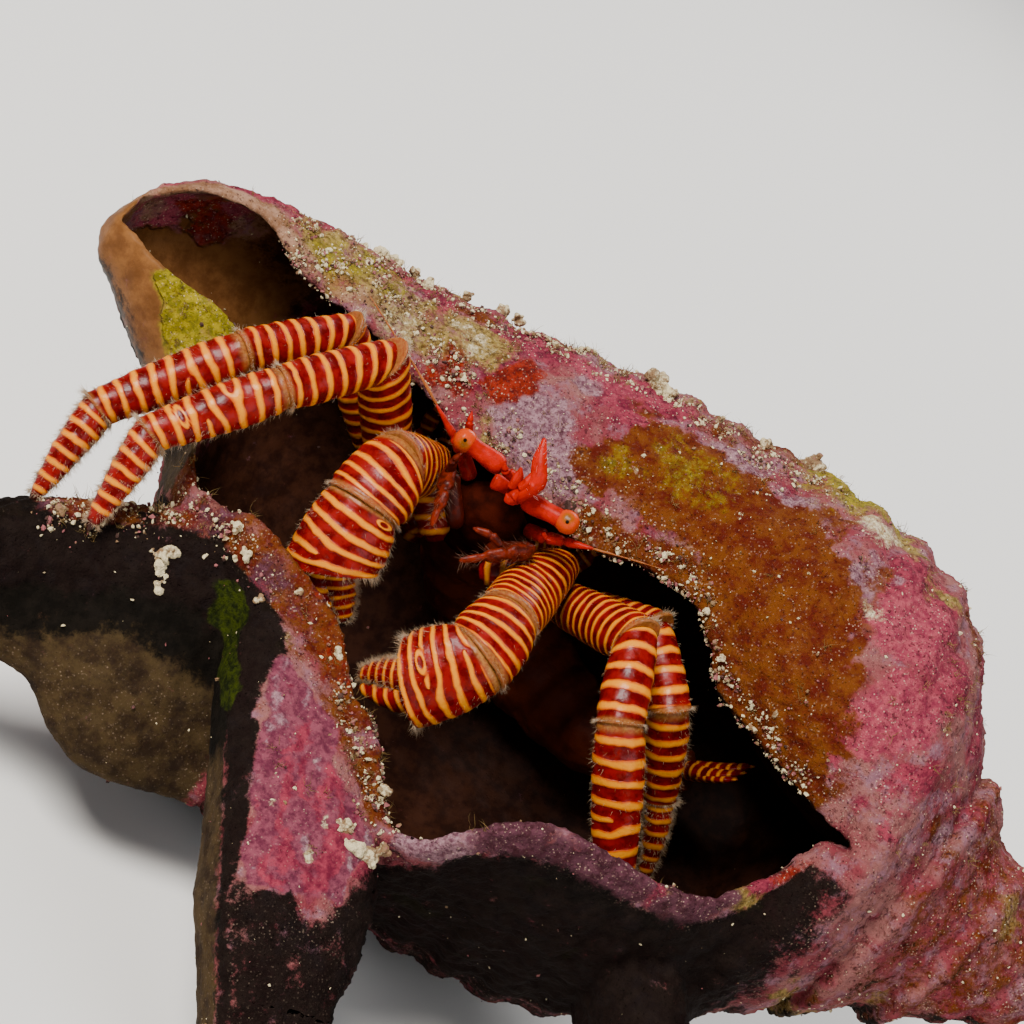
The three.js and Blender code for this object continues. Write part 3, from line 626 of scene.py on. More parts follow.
@dataclass(frozen=True)
class BandedCuticle:
    """Calcified crab cuticle with a low gloss, blood red with raised orange-yellow bands."""

    red: tuple[str, str] = ("#4e0000", "#780200")
    orange: tuple[str, str] = ("#ac4600", "#cc7c00")
    rim: str = "#94622e"
    horn: str = "#2a1008"

    def material(self) -> bpy.types.Material:
        """Builds the finish from the point values band (crests of the bands), rim and horn."""
        r = Recipe("banded_crab_cuticle", Roughness=0.3, Specular_IOR_Level=0.14, Coat_Weight=0.03,
                   Coat_Roughness=0.1, Subsurface_Weight=0.04, Subsurface_Radius=(1.0, 0.35, 0.15),
                   Subsurface_Scale=0.0012)
        cloud = r.noise(1.6, 3.0)
        band = r.plus(r.value("band"), r.times(r.less(r.noise(0.5, 2.0), 0.5), 0.35))
        share = r.ramp(band, 0.12, 0.36)
        red = r.mix(r.ramp(cloud, 0.35, 0.65), self.red[0], self.red[1])
        orange = r.mix(r.ramp(band, 0.35, 0.95), self.orange[0], self.orange[1])
        colour = r.mix(share, red, orange)
        haze = r.ramp(r.noise(0.35, 4.0, 0.7), 0.35, 0.65, (0.45, 1.0))
        colour = r.mix(r.times(r.value("rim"), haze), colour, self.rim)
        colour = r.mix(r.value("horn"), colour, self.horn)
        skin = r.plus(r.times(r.noise(0.45, 3.0), 0.7), r.times(share, 0.5))
        return r.finish(colour, r.ramp(cloud, 0.3, 0.7, (0.24, 0.38)), skin, 0.07)


@dataclass(frozen=True)
class PlainCuticle:
    """Uncalcified or thinly calcified cuticle of one colour family, satin and translucent."""

    name: str
    pale: str
    deep: str
    rough: float = 0.34
    glow: float = 0.25
    grain_mm: float = 0.8
    alpha: float = 1.0
    polish: float = 0.1

    def material(self) -> bpy.types.Material:
        """Builds the finish, deeper in its hollows and toward the point value shade."""
        r = Recipe(self.name, Roughness=self.rough, Specular_IOR_Level=self.polish, Alpha=self.alpha,
                   Subsurface_Weight=self.glow, Subsurface_Radius=(1.0, 0.4, 0.2), Subsurface_Scale=0.0012)
        share = r.plus(r.ramp(r.noise(self.grain_mm, 3.0), 0.35, 0.7, (0.0, 0.6)), r.value("shade"), True)
        return r.finish(r.mix(share, self.pale, self.deep), None, r.noise(0.3, 3.0), 0.04)


@dataclass(frozen=True)
class EyeCornea:
    """Faceted cornea: smooth orange, with a brown patch and one small black false pupil."""

    orange: str = "#b03400"
    patch: tuple[str, str] = ("#7e4406", "#563008")
    pupil: str = "#070403"

    def material(self) -> bpy.types.Material:
        """Builds the finish from the point values pupil and patch, distances in mm."""
        r = Recipe("polished_cornea", Roughness=0.28, Specular_IOR_Level=0.1, Coat_Weight=0.03,
                   Coat_Roughness=0.15)
        ragged = r.plus(r.value("patch"), r.times(r.less(r.noise(0.5), 0.5), 0.5))
        colour = r.mix(r.ramp(ragged, 1.0, 0.3), self.orange, self.patch[0])
        colour = r.mix(r.ramp(r.value("patch"), 0.5, 0.15, (0.0, 0.6)), colour, self.patch[1])
        colour = r.mix(r.ramp(r.value("pupil"), 0.26, 0.19), colour, self.pupil)
        return r.finish(colour, None, r.cells(0.09), 0.006)


class Finish(Enum):
    """The finishes, by what they are."""

    CRUST = CorallineCrust()
    GRIT = SandGrain()
    BANDED = BandedCuticle()
    ORANGE = PlainCuticle("orange_satin_cuticle", "#a81000", "#6a0600", 0.34, 0.02, 1.4, polish=0.07)
    MOUTH = PlainCuticle("mouth_limb_cuticle", "#7a2006", "#360a03", 0.34, 0.05, 0.8)
    FEELER = PlainCuticle("thin_brown_cuticle", "#8e5024", "#54260e", 0.3, 0.2, 0.6)
    HAZE = PlainCuticle("clear_sensory_hair", "#f0c9b4", "#d9877a", 0.4, 0.3, 0.6)
    MEMBRANE = PlainCuticle("joint_membrane", "#9a4a20", "#4c1608", 0.38, 0.3, 0.5)
    SETA = PlainCuticle("chitin_bristle", "#c8ac88", "#8a6440", 0.45, 0.3, 2.0)
    WEED = PlainCuticle("turf_weed", "#8a6a3c", "#4c3a1c", 0.6, 0.1, 2.0)
    PALE_SETA = PlainCuticle("pale_mouth_bristle", "#8c6450", "#543020", 0.45, 0.2, 1.0)
    FLESH = PlainCuticle("soft_abdomen_skin", "#6e2e18", "#3c120a", 0.45, 0.2, 2.5)
    # Painted shade: the head shield is near black, far darker than its own orange red.
    TRUNK = PlainCuticle("mottled_head_shield", "#3a1006", "#1a0603", 0.8, 0.02, 1.5, polish=0.01)
    CORNEA = EyeCornea()

    def made(self) -> bpy.types.Material:
        """The material, built the first time it is asked for."""
        if self.name not in _MADE:
            _MADE[self.name] = self.value.material()
        return _MADE[self.name]


_MADE: dict[str, bpy.types.Material] = {}


# --------------------------------------------------------------------------- the shell

@dataclass
class Finger:
    """One finger of the outer lip: its centre line, and its half-sizes and lie at each point of it."""

    path: list
    wide: list
    thick: list
    across: list

    def rings(self, steps: int = 14, sides: int = 44) -> Array:
        """Rings of squared ovals carried along the centre line."""
        u = np.linspace(0, len(self.path) - 1, steps * (len(self.path) - 1) + 1)
        places = np.arange(len(self.path))
        wide = knot_curve(list(zip(places, self.wide)))(u)
        thick = knot_curve(list(zip(places, self.thick)))(u)
        hint = np.stack([knot_curve(list(zip(places, column)))(u) for column in zip(*self.across)], 1)
        return swept(path_points(self.path, u), hint, wide, thick, sides, 0.62)


@dataclass
class Patch:
    """Where one growth lies: a ball or an oval round a point, in the crab's frame.

    One that lies over the others wipes away what it covers.
    """

    growth: str
    centre: tuple[float, float, float]
    reach: float
    squeeze: tuple[float, float, float] = (1.0, 1.0, 1.0)
    strength: float = 1.0
    over: bool = False

    def away(self, p: Array) -> Array:
        """Distance of points from the patch's middle, in shares of its reach."""
        return np.linalg.norm((p - np.array(self.centre)) * np.array(self.squeeze), axis=1) / self.reach


class Growths(dict):
    """Point values of the growths, by name."""

    def lay(self, name: str, share: Array) -> None:
        """Keeps the larger of what a growth has and a new share of it."""
        self[name] = np.maximum(self[name], share)

    def wipe(self, share: Array) -> None:
        """Takes a share of every growth away."""
        for name in self:
            self[name] = self[name] * (1 - share)


@dataclass
class ConchShell:
    """Spider conch with a crusted roof, an open canal at the left and a lip drawn into three fingers.

    A section at x is a polar oval about a middle, radius = 1 / hypot(cos a / depth, sin a / half height),
    pulled out to each rim of the mouth by a share that fades with the square of the angle from it. Upright
    is the y and z of the rolled shell's own upward direction, which the fine ribs of the crust climb.
    """

    front: float = -56.6
    aperture: tuple[float, float] = (-53.0, 52.5)
    cavity: tuple[float, float] = (-54.6, 57.0)
    cavity_closing: float = 9.0
    mouth_reach: float = 9.0
    apex: float = 91.0
    floor: float = -57.8
    suture_pitch: float = 9.5
    suture_depth: float = 0.13
    rim_reach: float = math.radians(58.0)
    rim_thinning: float = 0.5
    wall_sides: int = 150
    mouth_sides: int = 30
    first_voxel: float = 0.55
    voxel: float = 0.5
    crust: float = 0.42
    cord_pitch: float = 6.4
    cord_height: float = 0.55
    upright: tuple[float, float] = (0.4226, 0.9063)
    top: Curve = field(default_factory=lambda: knot_curve([
        [-57, -3], [-54.5, 2.4], [-52, 5.4], [-46, 9.4], [-40, 11], [-34, 12.6], [-28, 14.2], [-20, 15.8],
        [-10, 17.8], [0, 20.2], [10, 21.8], [20, 23], [30, 23.8], [40, 23.6], [48, 22.6], [54, 19.6],
        [58, 15.2], [61, 11.4], [64, 8], [68, 4.2], [75, 0], [84, -6.4], [91, -11]]))
    foot: Curve = field(default_factory=lambda: knot_curve([
        [-57, -5], [-54.5, -8], [-52, -9.4], [-46, -13.6], [-40, -17.4], [-34, -24], [-30, -35],
        [-20, -49.6], [-10, -53], [0, -53.6], [10, -53.6], [20, -52.8], [30, -51.2], [40, -47.8], [48, -43],
        [54, -38], [58, -34.6], [64, -29.6], [75, -22.6], [84, -17], [91, -12.4]]))
    middle: Curve = field(default_factory=lambda: knot_curve([
        [-57, 3], [-52, 5], [-46, 6.5], [-34, 9.5], [-28, 11], [-20, 12.5], [-10, 13.5], [0, 14], [10, 14],
        [20, 13], [30, 12], [40, 11], [58, 11], [91, 10]]))
    depth: Curve = field(default_factory=lambda: knot_curve([
        [-57, 1.4], [-54.5, 5.6], [-52, 7.6], [-46, 10.5], [-40, 13], [-34, 16], [-28, 20], [-20, 24],
        [-10, 28], [0, 30], [10, 31.5], [20, 32], [30, 32], [40, 31], [48, 29.4], [54, 27], [58, 24],
        [61, 20.6], [66, 16.4], [75, 10.4], [84, 5], [91, 0.7]]))
    wall: Curve = field(default_factory=lambda: knot_curve([
        [-57, 1.8], [-45, 2.2], [-30, 2.6], [-10, 3], [20, 3.4], [50, 3.6], [60, 4]]))
    roof_t: Curve = field(default_factory=lambda: knot_curve([
        [-57, 1], [-53, 3.4], [-50, 6.2], [-46, 7.8], [-42, 8.4], [-38.4, 7.2], [-35, 6], [-30, 5.5],
        [-22.7, 5.6], [-14.6, 3.6], [-8.2, 1.8], [-2.2, 0.6], [3.4, 1.8], [11, 0.4], [16.5, 2.6],
        [23.2, 3.2], [28.3, 0.8], [33.2, -4.1], [40.4, -5.9], [46.8, -7.7], [53, -9.2], [60, -9.4]]))
    roof_s: Curve = field(default_factory=lambda: knot_curve([
        [-57, 2], [-50, 2.4], [-42, 3], [-30, 3], [-14.6, 2], [3.4, 0], [23, -3], [33, -5], [46.8, -8],
        [53, -9], [60, -8]]))
    lip_t: Curve = field(default_factory=lambda: knot_curve([
        [-57, -2.4], [-53, -2.8], [-46, -4.2], [-40, -4], [-36.4, -4.8], [-33.6, -12], [-31, -19],
        [-28, -22], [-24, -22.2], [-20, -20.6], [-13.4, -22], [-6.6, -24], [-1.2, -28.8], [6, -33],
        [12, -39], [16, -37],
        [22.5, -29.4], [28, -27], [36, -26], [44, -24.6], [49.5, -18.6], [53, -11], [60, -10]]))
    lip_s: Curve = field(default_factory=lambda: knot_curve([
        [-57, -1], [-52, -3], [-46, -3.6], [-36, -2.6], [-33.6, -4], [-31, -8], [-25, -12], [-13, -15.2],
        [-6.6, -15.2], [-1.2, -17.2], [6, -20], [12, -22.4], [16, -24], [22.5, -26], [28, -25], [36, -22],
        [43.5, -18], [49.5, -12.4], [53, -9.4], [60, -8.6]]))
    fingers: dict = field(default_factory=lambda: {
        "left": Finger(
            [[-9, -18.6, -31.6], [-21, -22.4, -32], [-33.5, -25.2, -32.5], [-44, -30.8, -36],
             [-54, -37.4, -42.6], [-62, -43, -50.6], [-65.4, -46.4, -60]],
            [15, 16.6, 10.8, 7.8, 6, 4.8, 3.4], [4, 5.4, 5, 4.6, 4.2, 3.6, 2.8],
            [[0.1, 0.42, 0.9], [0.1, 0.42, 0.9], [0.2, 0.42, 0.9], [0.5, 0.3, 0.8], [0.7, 0.2, 0.6],
             [0.8, 0.1, 0.4], [0.9, 0.1, 0.2]]),
        "front": Finger(
            [[-11, -20, -21.5], [-7.5, -26.8, -24.8], [0, -34.4, -29.6], [7, -43.4, -35], [12.4, -52, -42.4],
             [16, -57.4, -50.4], [17.6, -59.4, -60]],
            [5.4, 6.4, 8.2, 9.4, 6.8, 4.8, 3.6], [5, 6, 6.4, 6.4, 5.6, 4.8, 3.8],
            [[1, 0.3, 0], [1, 0.3, 0], [0.8, 0.6, 0.2], [0.6, 0.75, 0.3], [0.8, 0.6, 0.2], [1, 0.3, 0],
             [1, 0.2, 0]]),
        "right": Finger(
            [[40, -14, -30], [46, -22, -33], [52, -30, -37.5], [58, -37, -44], [62, -41.5, -51],
             [63.6, -43.4, -59.6]],
            [7, 8.6, 7.4, 5.8, 4.4, 3], [4, 5, 4.8, 4.2, 3.6, 2.8],
            [[-0.6, 0.4, 1], [-0.6, 0.4, 1], [-0.6, 0.4, 1], [-0.6, 0.4, 1], [-0.7, 0.4, 0.8],
             [-0.8, 0.4, 0.5]]),
    })
    foot_knobs: tuple = ((-12, 17, -51.5, 6.0), (27, 19, -51.5, 6.0))
    shoulder_knobs: tuple = ((49, 62, 4.4), (49, 18, 4.6), (48, -26, 4.8), (48, -70, 4.8), (47, -114, 4.4))
    columella: tuple = ((60, 11, -5), (48, 12, -2.5), (34, 14, 4), (20, 15, 10.6), (6, 14, 16))
    columella_radius: tuple = (7, 7, 6, 5, 3.5)
    cuts: tuple = (-27.0, 14.5, 47.0)
    finger_cuts: tuple = (3.0, 4.0, 2.0)
    finger_reach: float = 13.0

    @staticmethod
    def rolled(x: Array, s: Array, t: Array) -> Array:
        """Points of the shell's own frame (x, s backward, t upward) in the crab's frame, rolled back."""
        c, d = math.cos(ROLL), math.sin(ROLL)
        return np.stack(np.broadcast_arrays(x, s * c + t * d, -s * d + t * c), -1)

    @staticmethod
    def unrolled(p: Array) -> tuple[Array, Array, Array]:
        """Points of the crab's frame in the shell's own frame."""
        c, d = math.cos(ROLL), math.sin(ROLL)
        return p[:, 0], p[:, 1] * c - p[:, 2] * d, p[:, 1] * d + p[:, 2] * c

    def whorl_radius(self, x: Array, angle: Array) -> Array:
        """Radius of the oval, with the spire's spiral suture pressed in as a saw tooth along its turns."""
        half = (self.top(x) - self.foot(x)) / 2
        base = 1 / np.hypot(np.cos(angle) / self.depth(x), np.sin(angle) / half)
        turn = (x - 50) / self.suture_pitch + angle / TAU
        part = turn - np.floor(turn)
        saw = 0.5 - part + 0.45 * np.exp(-((part - 0.1) / 0.07) ** 2)
        return base * (1 + smoothstep(x, 55, 63) * self.suture_depth * saw)

    def rims(self, x: Array) -> tuple[Array, ...]:
        """The section's middle, and the angle of each rim and how far it stands out of the plain oval.

        Returns:
            Middle s and t, angles of the roof's and the lip's rim, gains of the roof's and the lip's rim.
        """
        centre_s, centre_t = self.middle(x), (self.top(x) + self.foot(x)) / 2
        roof_s, roof_t = self.roof_s(x) - centre_s, self.roof_t(x) - centre_t
        lip_s, lip_t = self.lip_s(x) - centre_s, self.lip_t(x) - centre_t
        roof_angle = np.arctan2(roof_t, roof_s) % TAU
        lip_angle = np.arctan2(lip_t, lip_s)
        lip_angle = np.where(lip_angle > 0, lip_angle - TAU, lip_angle)
        roof_gain = np.hypot(roof_s, roof_t) - self.whorl_radius(x, roof_angle)
        lip_gain = np.hypot(lip_s, lip_t) - self.whorl_radius(x, lip_angle)
        return centre_s, centre_t, roof_angle, lip_angle, roof_gain, lip_gain

    def rings(self, stations: Array, inset: Array, reach: float) -> Array:
        """Rings of the section: the wall from the roof's rim over the back to the lip's rim, then a chord.

        Args:
            stations: places along the shell.
            inset: how far each ring lies inside the outer surface, 0 for the outer surface itself.
            reach: how far the chord is pushed out of the mouth.

        Returns:
            Rings shaped (stations, points, 3).
        """
        x = stations[:, None]
        inset = np.asarray(inset, float).reshape(-1, 1)
        centre_s, centre_t, roof_angle, lip_angle, roof_gain, lip_gain = self.rims(x)
        fade_out = 1 - smoothstep(x, self.aperture[1], self.aperture[1] + 6)
        edge = fade_out * smoothstep(x, self.front, self.aperture[0])
        roof_gain, lip_gain = roof_gain * edge, lip_gain * edge

        def radius(angle: Array) -> Array:
            """Outer radius with both rims pulled out."""
            near_roof = np.maximum(0, 1 - (roof_angle - angle) / self.rim_reach)
            near_lip = np.maximum(0, 1 - (angle - lip_angle) / self.rim_reach)
            thinning = self.rim_thinning * edge * np.maximum(near_roof, near_lip)
            grown = self.whorl_radius(x, angle) + roof_gain * near_roof ** 2 + lip_gain * near_lip ** 2
            cords = self.cord_height * np.cos(TAU * (x / self.cord_pitch + 0.9 * angle / TAU))
            calm = (1 - np.maximum(near_roof, near_lip)) * smoothstep(x, -34, -20)
            grown = grown + np.where(inset > 0, 0, cords * calm)
            return grown - np.where(inset > 0, inset * (1 - thinning), inset)

        def rim(angle: Array) -> tuple[Array, Array]:
            """Outer point at one rim."""
            r = radius(angle) + np.where(inset > 0, inset * (1 - self.rim_thinning * edge), inset)
            return r * np.cos(angle), r * np.sin(angle)

        angle = roof_angle - (roof_angle - lip_angle) * np.linspace(0, 1, self.wall_sides + 1)[None]
        r = np.maximum(0.3, radius(angle))
        wall_s, wall_t = r * np.cos(angle), r * np.sin(angle)
        (as_, at), (bs, bt) = rim(lip_angle), rim(roof_angle)
        u = np.linspace(0, 1, self.mouth_sides + 1)[None, 1:-1]
        chord_s, chord_t = as_ + (bs - as_) * u, at + (bt - at) * u
        far = np.hypot(chord_s, chord_t)
        push = np.where(edge > 0.5, 1.2 + reach * edge * np.sin(math.pi * u), 0)
        grown = np.where(inset > 0, far - inset * np.where(edge > 0.5, 0, 1) + push, far)
        scale = np.maximum(0.3, grown) / far
        s = np.concatenate([wall_s, chord_s * scale], 1) + centre_s
        t = np.concatenate([wall_t, chord_t * scale], 1) + centre_t
        return self.rolled(x, s, t)

    def knob(self, foot: Array, way: Array, reach: float, radius: float) -> Array:
        """Rings of a blunt knob that rises from a broad base: a flared profile turned about its line.

        Args:
            foot: where the line leaves the whorl.
            way: unit direction of the line.
            reach: height of the knob above that place.
            radius: its radius near the tip.

        Returns:
            Rings of points.
        """
        h = np.linspace(-0.8, 1, 40)
        share = knot_curve([[-0.8, 2.3], [-0.3, 2.0], [0.1, 1.45], [0.45, 1.08], [0.75, 0.95], [0.93, 0.66],
                            [1, 0.1]])(h)
        wavy = 1 + 0.06 * np.sin(3 * TAU * np.arange(40)[None] / 40 + 4 * h[:, None])
        line = foot + h[:, None] * reach * way
        hint = unit(np.cross(way, ALONG + 0.3 * UP))
        rings = swept(line, hint, share * radius, share * radius, 40)
        return line[:, None] + (rings - line[:, None]) * wavy[..., None]

    def solid(self) -> Piece:
        """Whorl, knobs and fingers fused into one skin, hollowed by the cavity and made even again."""
        x = np.concatenate([np.arange(self.front, 56, 0.9), np.arange(56, self.apex, 0.6), [self.apex]])
        outer = Surface().tube(self.rings(x, np.zeros(len(x)), 0))
        for finger in self.fingers.values():
            outer.tube(finger.rings())
        for place_x, place_y, place_z, radius in self.foot_knobs:
            outer.tube(self.knob(np.array([place_x, place_y, place_z + 1.5]), -UP, 9.0, radius))
        for place_x, degrees, radius in self.shoulder_knobs:
            angle = math.radians(degrees)
            r = float(self.whorl_radius(np.array(place_x, float), np.array(angle))) - 0.6
            middle_t = float(self.top(place_x) + self.foot(place_x)) / 2
            centre = self.rolled(np.array(float(place_x)), self.middle(place_x) + r * math.cos(angle),
                                 middle_t + r * math.sin(angle))
            outward = self.rolled(np.array(0.12), np.array(math.cos(angle)), np.array(math.sin(angle)))
            outer.tube(self.knob(centre, unit(outward), radius, 0.75 * radius))
        skin = outer.build("conch_shell")
        applied(skin, "REMESH", mode="VOXEL", voxel_size=self.first_voxel * MM)
        inner_x = np.concatenate([np.arange(*self.cavity, 0.9), self.cavity[1:]])
        inset = self.wall(inner_x) + self.cavity_closing * smoothstep(inner_x, 50, self.cavity[1])
        cavity = Surface().tube(self.rings(inner_x, inset, self.mouth_reach)).build("conch_cavity")
        applied(skin, "BOOLEAN", operation="DIFFERENCE", object=cavity, solver="MANIFOLD")
        u = np.linspace(0, 4, 60)
        line = path_points(self.columella, u)
        radius = knot_curve(list(enumerate(self.columella_radius)))(u)
        pillar = Surface().tube(swept(self.rolled(*line.T), UP, radius, radius, 40)).build("conch_columella")
        applied(pillar, "BOOLEAN", operation="INTERSECT", object=self.hull(), solver="MANIFOLD")
        applied(skin, "BOOLEAN", operation="UNION", object=pillar, solver="MANIFOLD")
        applied(skin, "REMESH", mode="VOXEL", voxel_size=self.voxel * MM)
        applied(skin, "SMOOTH", factor=0.5, iterations=3)
        for spare in [o for o in bpy.data.objects if o.name.startswith("conch_") and o is not skin]:
            bpy.data.objects.remove(spare)
        return skin

    def hull(self) -> Piece:
        """The whorl's outer skin alone, drawn in slightly, which trims the columella."""
        x = np.arange(self.front, self.apex, 1.5)
        return Surface().tube(self.rings(x, np.full(len(x), 0.8), 0)).build("conch_hull")

    def lining(self, p: Array) -> Array:
        """How much each point belongs to the inside of the shell, 0 outside and 1 well inside."""
        x, s, t = self.unrolled(p)
        centre_s, centre_t, roof_angle, lip_angle, roof_gain, lip_gain = self.rims(x)
        angle = np.arctan2(t - centre_t, s - centre_s)
        outer = self.whorl_radius(x, angle)
        near = angle + np.where(angle > roof_angle, -TAU, 0)
        near = np.where(near < lip_angle, near + TAU, near)
        outer = outer + roof_gain * np.maximum(0, 1 - np.abs(roof_angle - near) / self.rim_reach) ** 2
        outer = outer + lip_gain * np.maximum(0, 1 - np.abs(near - lip_angle) / self.rim_reach) ** 2
        inside = outer - np.hypot(s - centre_s, t - centre_t)
        share = smoothstep(inside / self.wall(x), 0.45, 0.8)
        return share * smoothstep(x, -56, -53) * (1 - smoothstep(x, 58, 60))

    def growths(self, p: Array, n: Array) -> Growths:
        """Point values of the growths: patches with wandering borders over a lining and an underside in
        painted shade.
        """
        warp = np.stack([layered_noise(p, 6.0, 3, seed) for seed in (11, 23, 37)], 1)
        q = p + 1.8 * warp
        frayed = 0.2 * layered_noise(p, 1.7, 4, 131)
        lining = self.lining(p)
        bare = 1 - lining
        found = Growths((growth.name, np.zeros(len(p))) for growth in Finish.CRUST.value.growths)
        for patch in (a for a in SHELL_PATCHES if not a.over):
            found.lay(patch.growth, patch.strength * (1 - smoothstep(patch.away(q), 0.35, 1.45)))
        self.grow_canal(found, p, warp, lining)
        self.grow_edges(found, p, n, bare)
        found.lay("rust", 1.5 * self.band_share(q, RUST_BAND, 1.6, 1.4, 6 * frayed) * bare)
        found.lay("rust", 1.1 * self.band_share(q, RIM_BAND, 1.0, 2.0) * bare)
        found.lay("sand", 0.55 * self.band_share(q, RIM_BAND, 0.5, 2.0) * bare)
        self.grow_clouds(found, p, bare)
        for patch in (a for a in SHELL_PATCHES if a.over):
            away = patch.away(q) + frayed
            found.wipe(min(patch.strength, 1.0) * (1 - smoothstep(away, 0.55, 1.2)))
            found.lay(patch.growth, patch.strength * (1 - smoothstep(away, 0.7, 1.35)))
        self.grow_shaded_and_worn_faces(found, p, warp, bare)
        return found

    def grow_canal(self, found: Growths, p: Array, warp: Array, lining: Array) -> None:
        """Lays the brown lining, and the bare porcelain of the canal with its crusted edges."""
        x, s, t = self.unrolled(p)
        bare = 1 - lining
        canal = 1 - smoothstep(x, -38, -30)
        rim_gap = np.minimum(np.hypot(s - self.roof_s(x), t - self.roof_t(x)),
                             np.hypot(s - self.lip_s(x), t - self.lip_t(x)))
        found.lay("hollow", lining * (1 - canal))
        found.lay("cream", lining * canal * smoothstep(rim_gap, 0.5, 6.0))
        high = smoothstep(p[:, 2], -19, -16)
        outer_canal = canal * high * bare * smoothstep(-s, -9, -2) * (1 - smoothstep(t, -1, 4))
        found.lay("cream", outer_canal * 0.95)
        found.lay("peach", outer_canal * (1 - smoothstep(rim_gap + 2.5 * warp[:, 0], 2.5, 9)))
        found.lay("peach", canal * high * (1 - smoothstep(rim_gap, 1.2, 2.6)))
        found.lay("magenta", canal * high * bare * smoothstep(t, 7, 9) * smoothstep(rim_gap, 1.6, 3.0))
        found.lay("hollow", canal * lining * smoothstep(t, 1, 6) * 0.7)

    def grow_edges(self, found: Growths, p: Array, n: Array, bare: Array) -> None:
        """Lays the rusty left crest, painted shade on the lip, the front and the underside, and the shaded
        left side.
        """
        x, s, t = self.unrolled(p)
        crest = smoothstep(-p[:, 1], 17, 21) * (1 - smoothstep(x, -14, -4)) * bare
        crest = crest * smoothstep(p[:, 2], -33, -29)
        found.lay("rust", crest * 0.75)
        found.lay("plum", crest * cloud(p, 4.0, 3, 143, -0.4, 0.6) * 0.6)
        found.lay("murk", crest * smoothstep(-x, 24, 32) * cloud(p, 5.0, 3, 141, -0.3, 0.4))
        # Painted shade on the outer face below the lip.
        lip = smoothstep(self.lip_t(x) - t, 1.4, 4.6) * (1 - smoothstep(s, -2, 6)) * smoothstep(x, 10, 14)
        found.lay("murk", lip * bare * (1 - 0.7 * smoothstep(x, 52, 60)))
        # Painted shade on the front finger's front face.
        front = smoothstep(-p[:, 1], 36, 41) * smoothstep(-p[:, 2], 30.5, 34.5)
        found.lay("murk", front * (np.abs(x - 8) < 24))
        # Painted shade: faces that turn down darken, and bare faces darken toward the bottom.
        under = smoothstep(-n[:, 2], 0.2, 0.7) * bare
        found.lay("murk", 0.7 * under + 0.5 * smoothstep(-p[:, 2], 40, 54) * bare * (1 - under))
        shade_side = smoothstep(-p[:, 2], 30, 36) * smoothstep(-x, 6, 14) * smoothstep(-p[:, 1], 8, 16)
        found.lay("grey", shade_side * bare * 0.9)

    @staticmethod
    def grow_clouds(found: Growths, p: Array, bare: Array) -> None:
        """Lays cloudy growths over all of the outside, some of them only toward the back."""
        x, y = p[:, 0], p[:, 1]
        found.lay("green", bare * smoothstep(y, 16, 26) * cloud(p, 9.0, 4, 71, 0.25, 0.9) * 0.8)
        for name, most, size, seed, low, high in (
                ("sand", 0.75, 7.0, 5, 0.3, 1.0), ("rust", 0.75, 8.0, 9, 0.3, 1.0),
                ("magenta", 0.8, 10.0, 3, 0.1, 0.8), ("lilac", 0.7, 6.0, 8, 0.4, 1.0)):
            plain = bare * (1 - np.maximum(found["cream"], found["peach"]))
            found.lay(name, plain * cloud(p, size, 4, seed, low, high) * most)
        found.lay("sand", bare * cloud(p, 24.0, 3, 101, 0.2, 1.0) * smoothstep(y, 8, 20) * 0.5)
        found.lay("grey", bare * cloud(p, 19.0, 3, 103, 0.1, 0.9) * smoothstep(y, 14, 26) * 0.6)
        found.lay("rust", bare * smoothstep(x, 56, 70) * 0.5)

    def grow_shaded_and_worn_faces(self, found: Growths, p: Array, warp: Array, bare: Array) -> None:
        """Lays painted shade below the left crest and on the front finger's flank, the mossy gap and the
        streaked facet.
        """
        x = p[:, 0]
        drop = self.left_crest(x) - p[:, 2] + 1.2 * warp[:, 0]
        facet, flank, down, across = self.front_facet(p)
        facet, flank = facet * bare, flank * bare
        side = smoothstep(-x, 6.5, 9.5) * smoothstep(-p[:, 1], 9, 15) * bare * (1 - facet)
        for share in (smoothstep(drop, 1.6, 3.2) * side, facet, flank):
            found.wipe(share)
        # Painted shade: the face below the left crest and the flank left of the facet darken; lower down,
        # the grey web is partly painted shade.
        found.lay("murk", smoothstep(drop, 0.6, 2.4) * side * (1 - smoothstep(drop, 12, 18)))
        outer_flank = smoothstep(-across, 30.0, 31.6)
        found.lay("murk", flank * (1 - outer_flank * smoothstep(down, 24, 29)))
        found.lay("grey", np.maximum(smoothstep(drop, 7, 12) * side, flank * outer_flank))
        found.lay("moss", 1.3 * self.band_share(p + 1.8 * warp, MOSS_BAND, 0.5, 1.0) * (1 - facet))
        streak = layered_noise(np.stack([1.5 * across, 0.3 * down, 0.6 * x], 1), 2.4, 4, 111)
        flakes = layered_noise(np.stack([1.1 * across, 0.7 * down, x], 1), 2.0, 3, 113)
        low_down = 0.6 + 0.4 * smoothstep(down, 28, 38)
        bleached = smoothstep(flakes + 0.5 * streak, 0.5, 1.0) * smoothstep(down, 24, 38)
        found.lay("mauve", facet)
        found.lay("magenta", facet * smoothstep(-streak, -0.1, 0.5) * 0.8)
        found.lay("lilac", facet * smoothstep(streak + 0.3 * flakes, 0.2, 0.7) * low_down)
        found.lay("white", facet * bleached * 0.8)

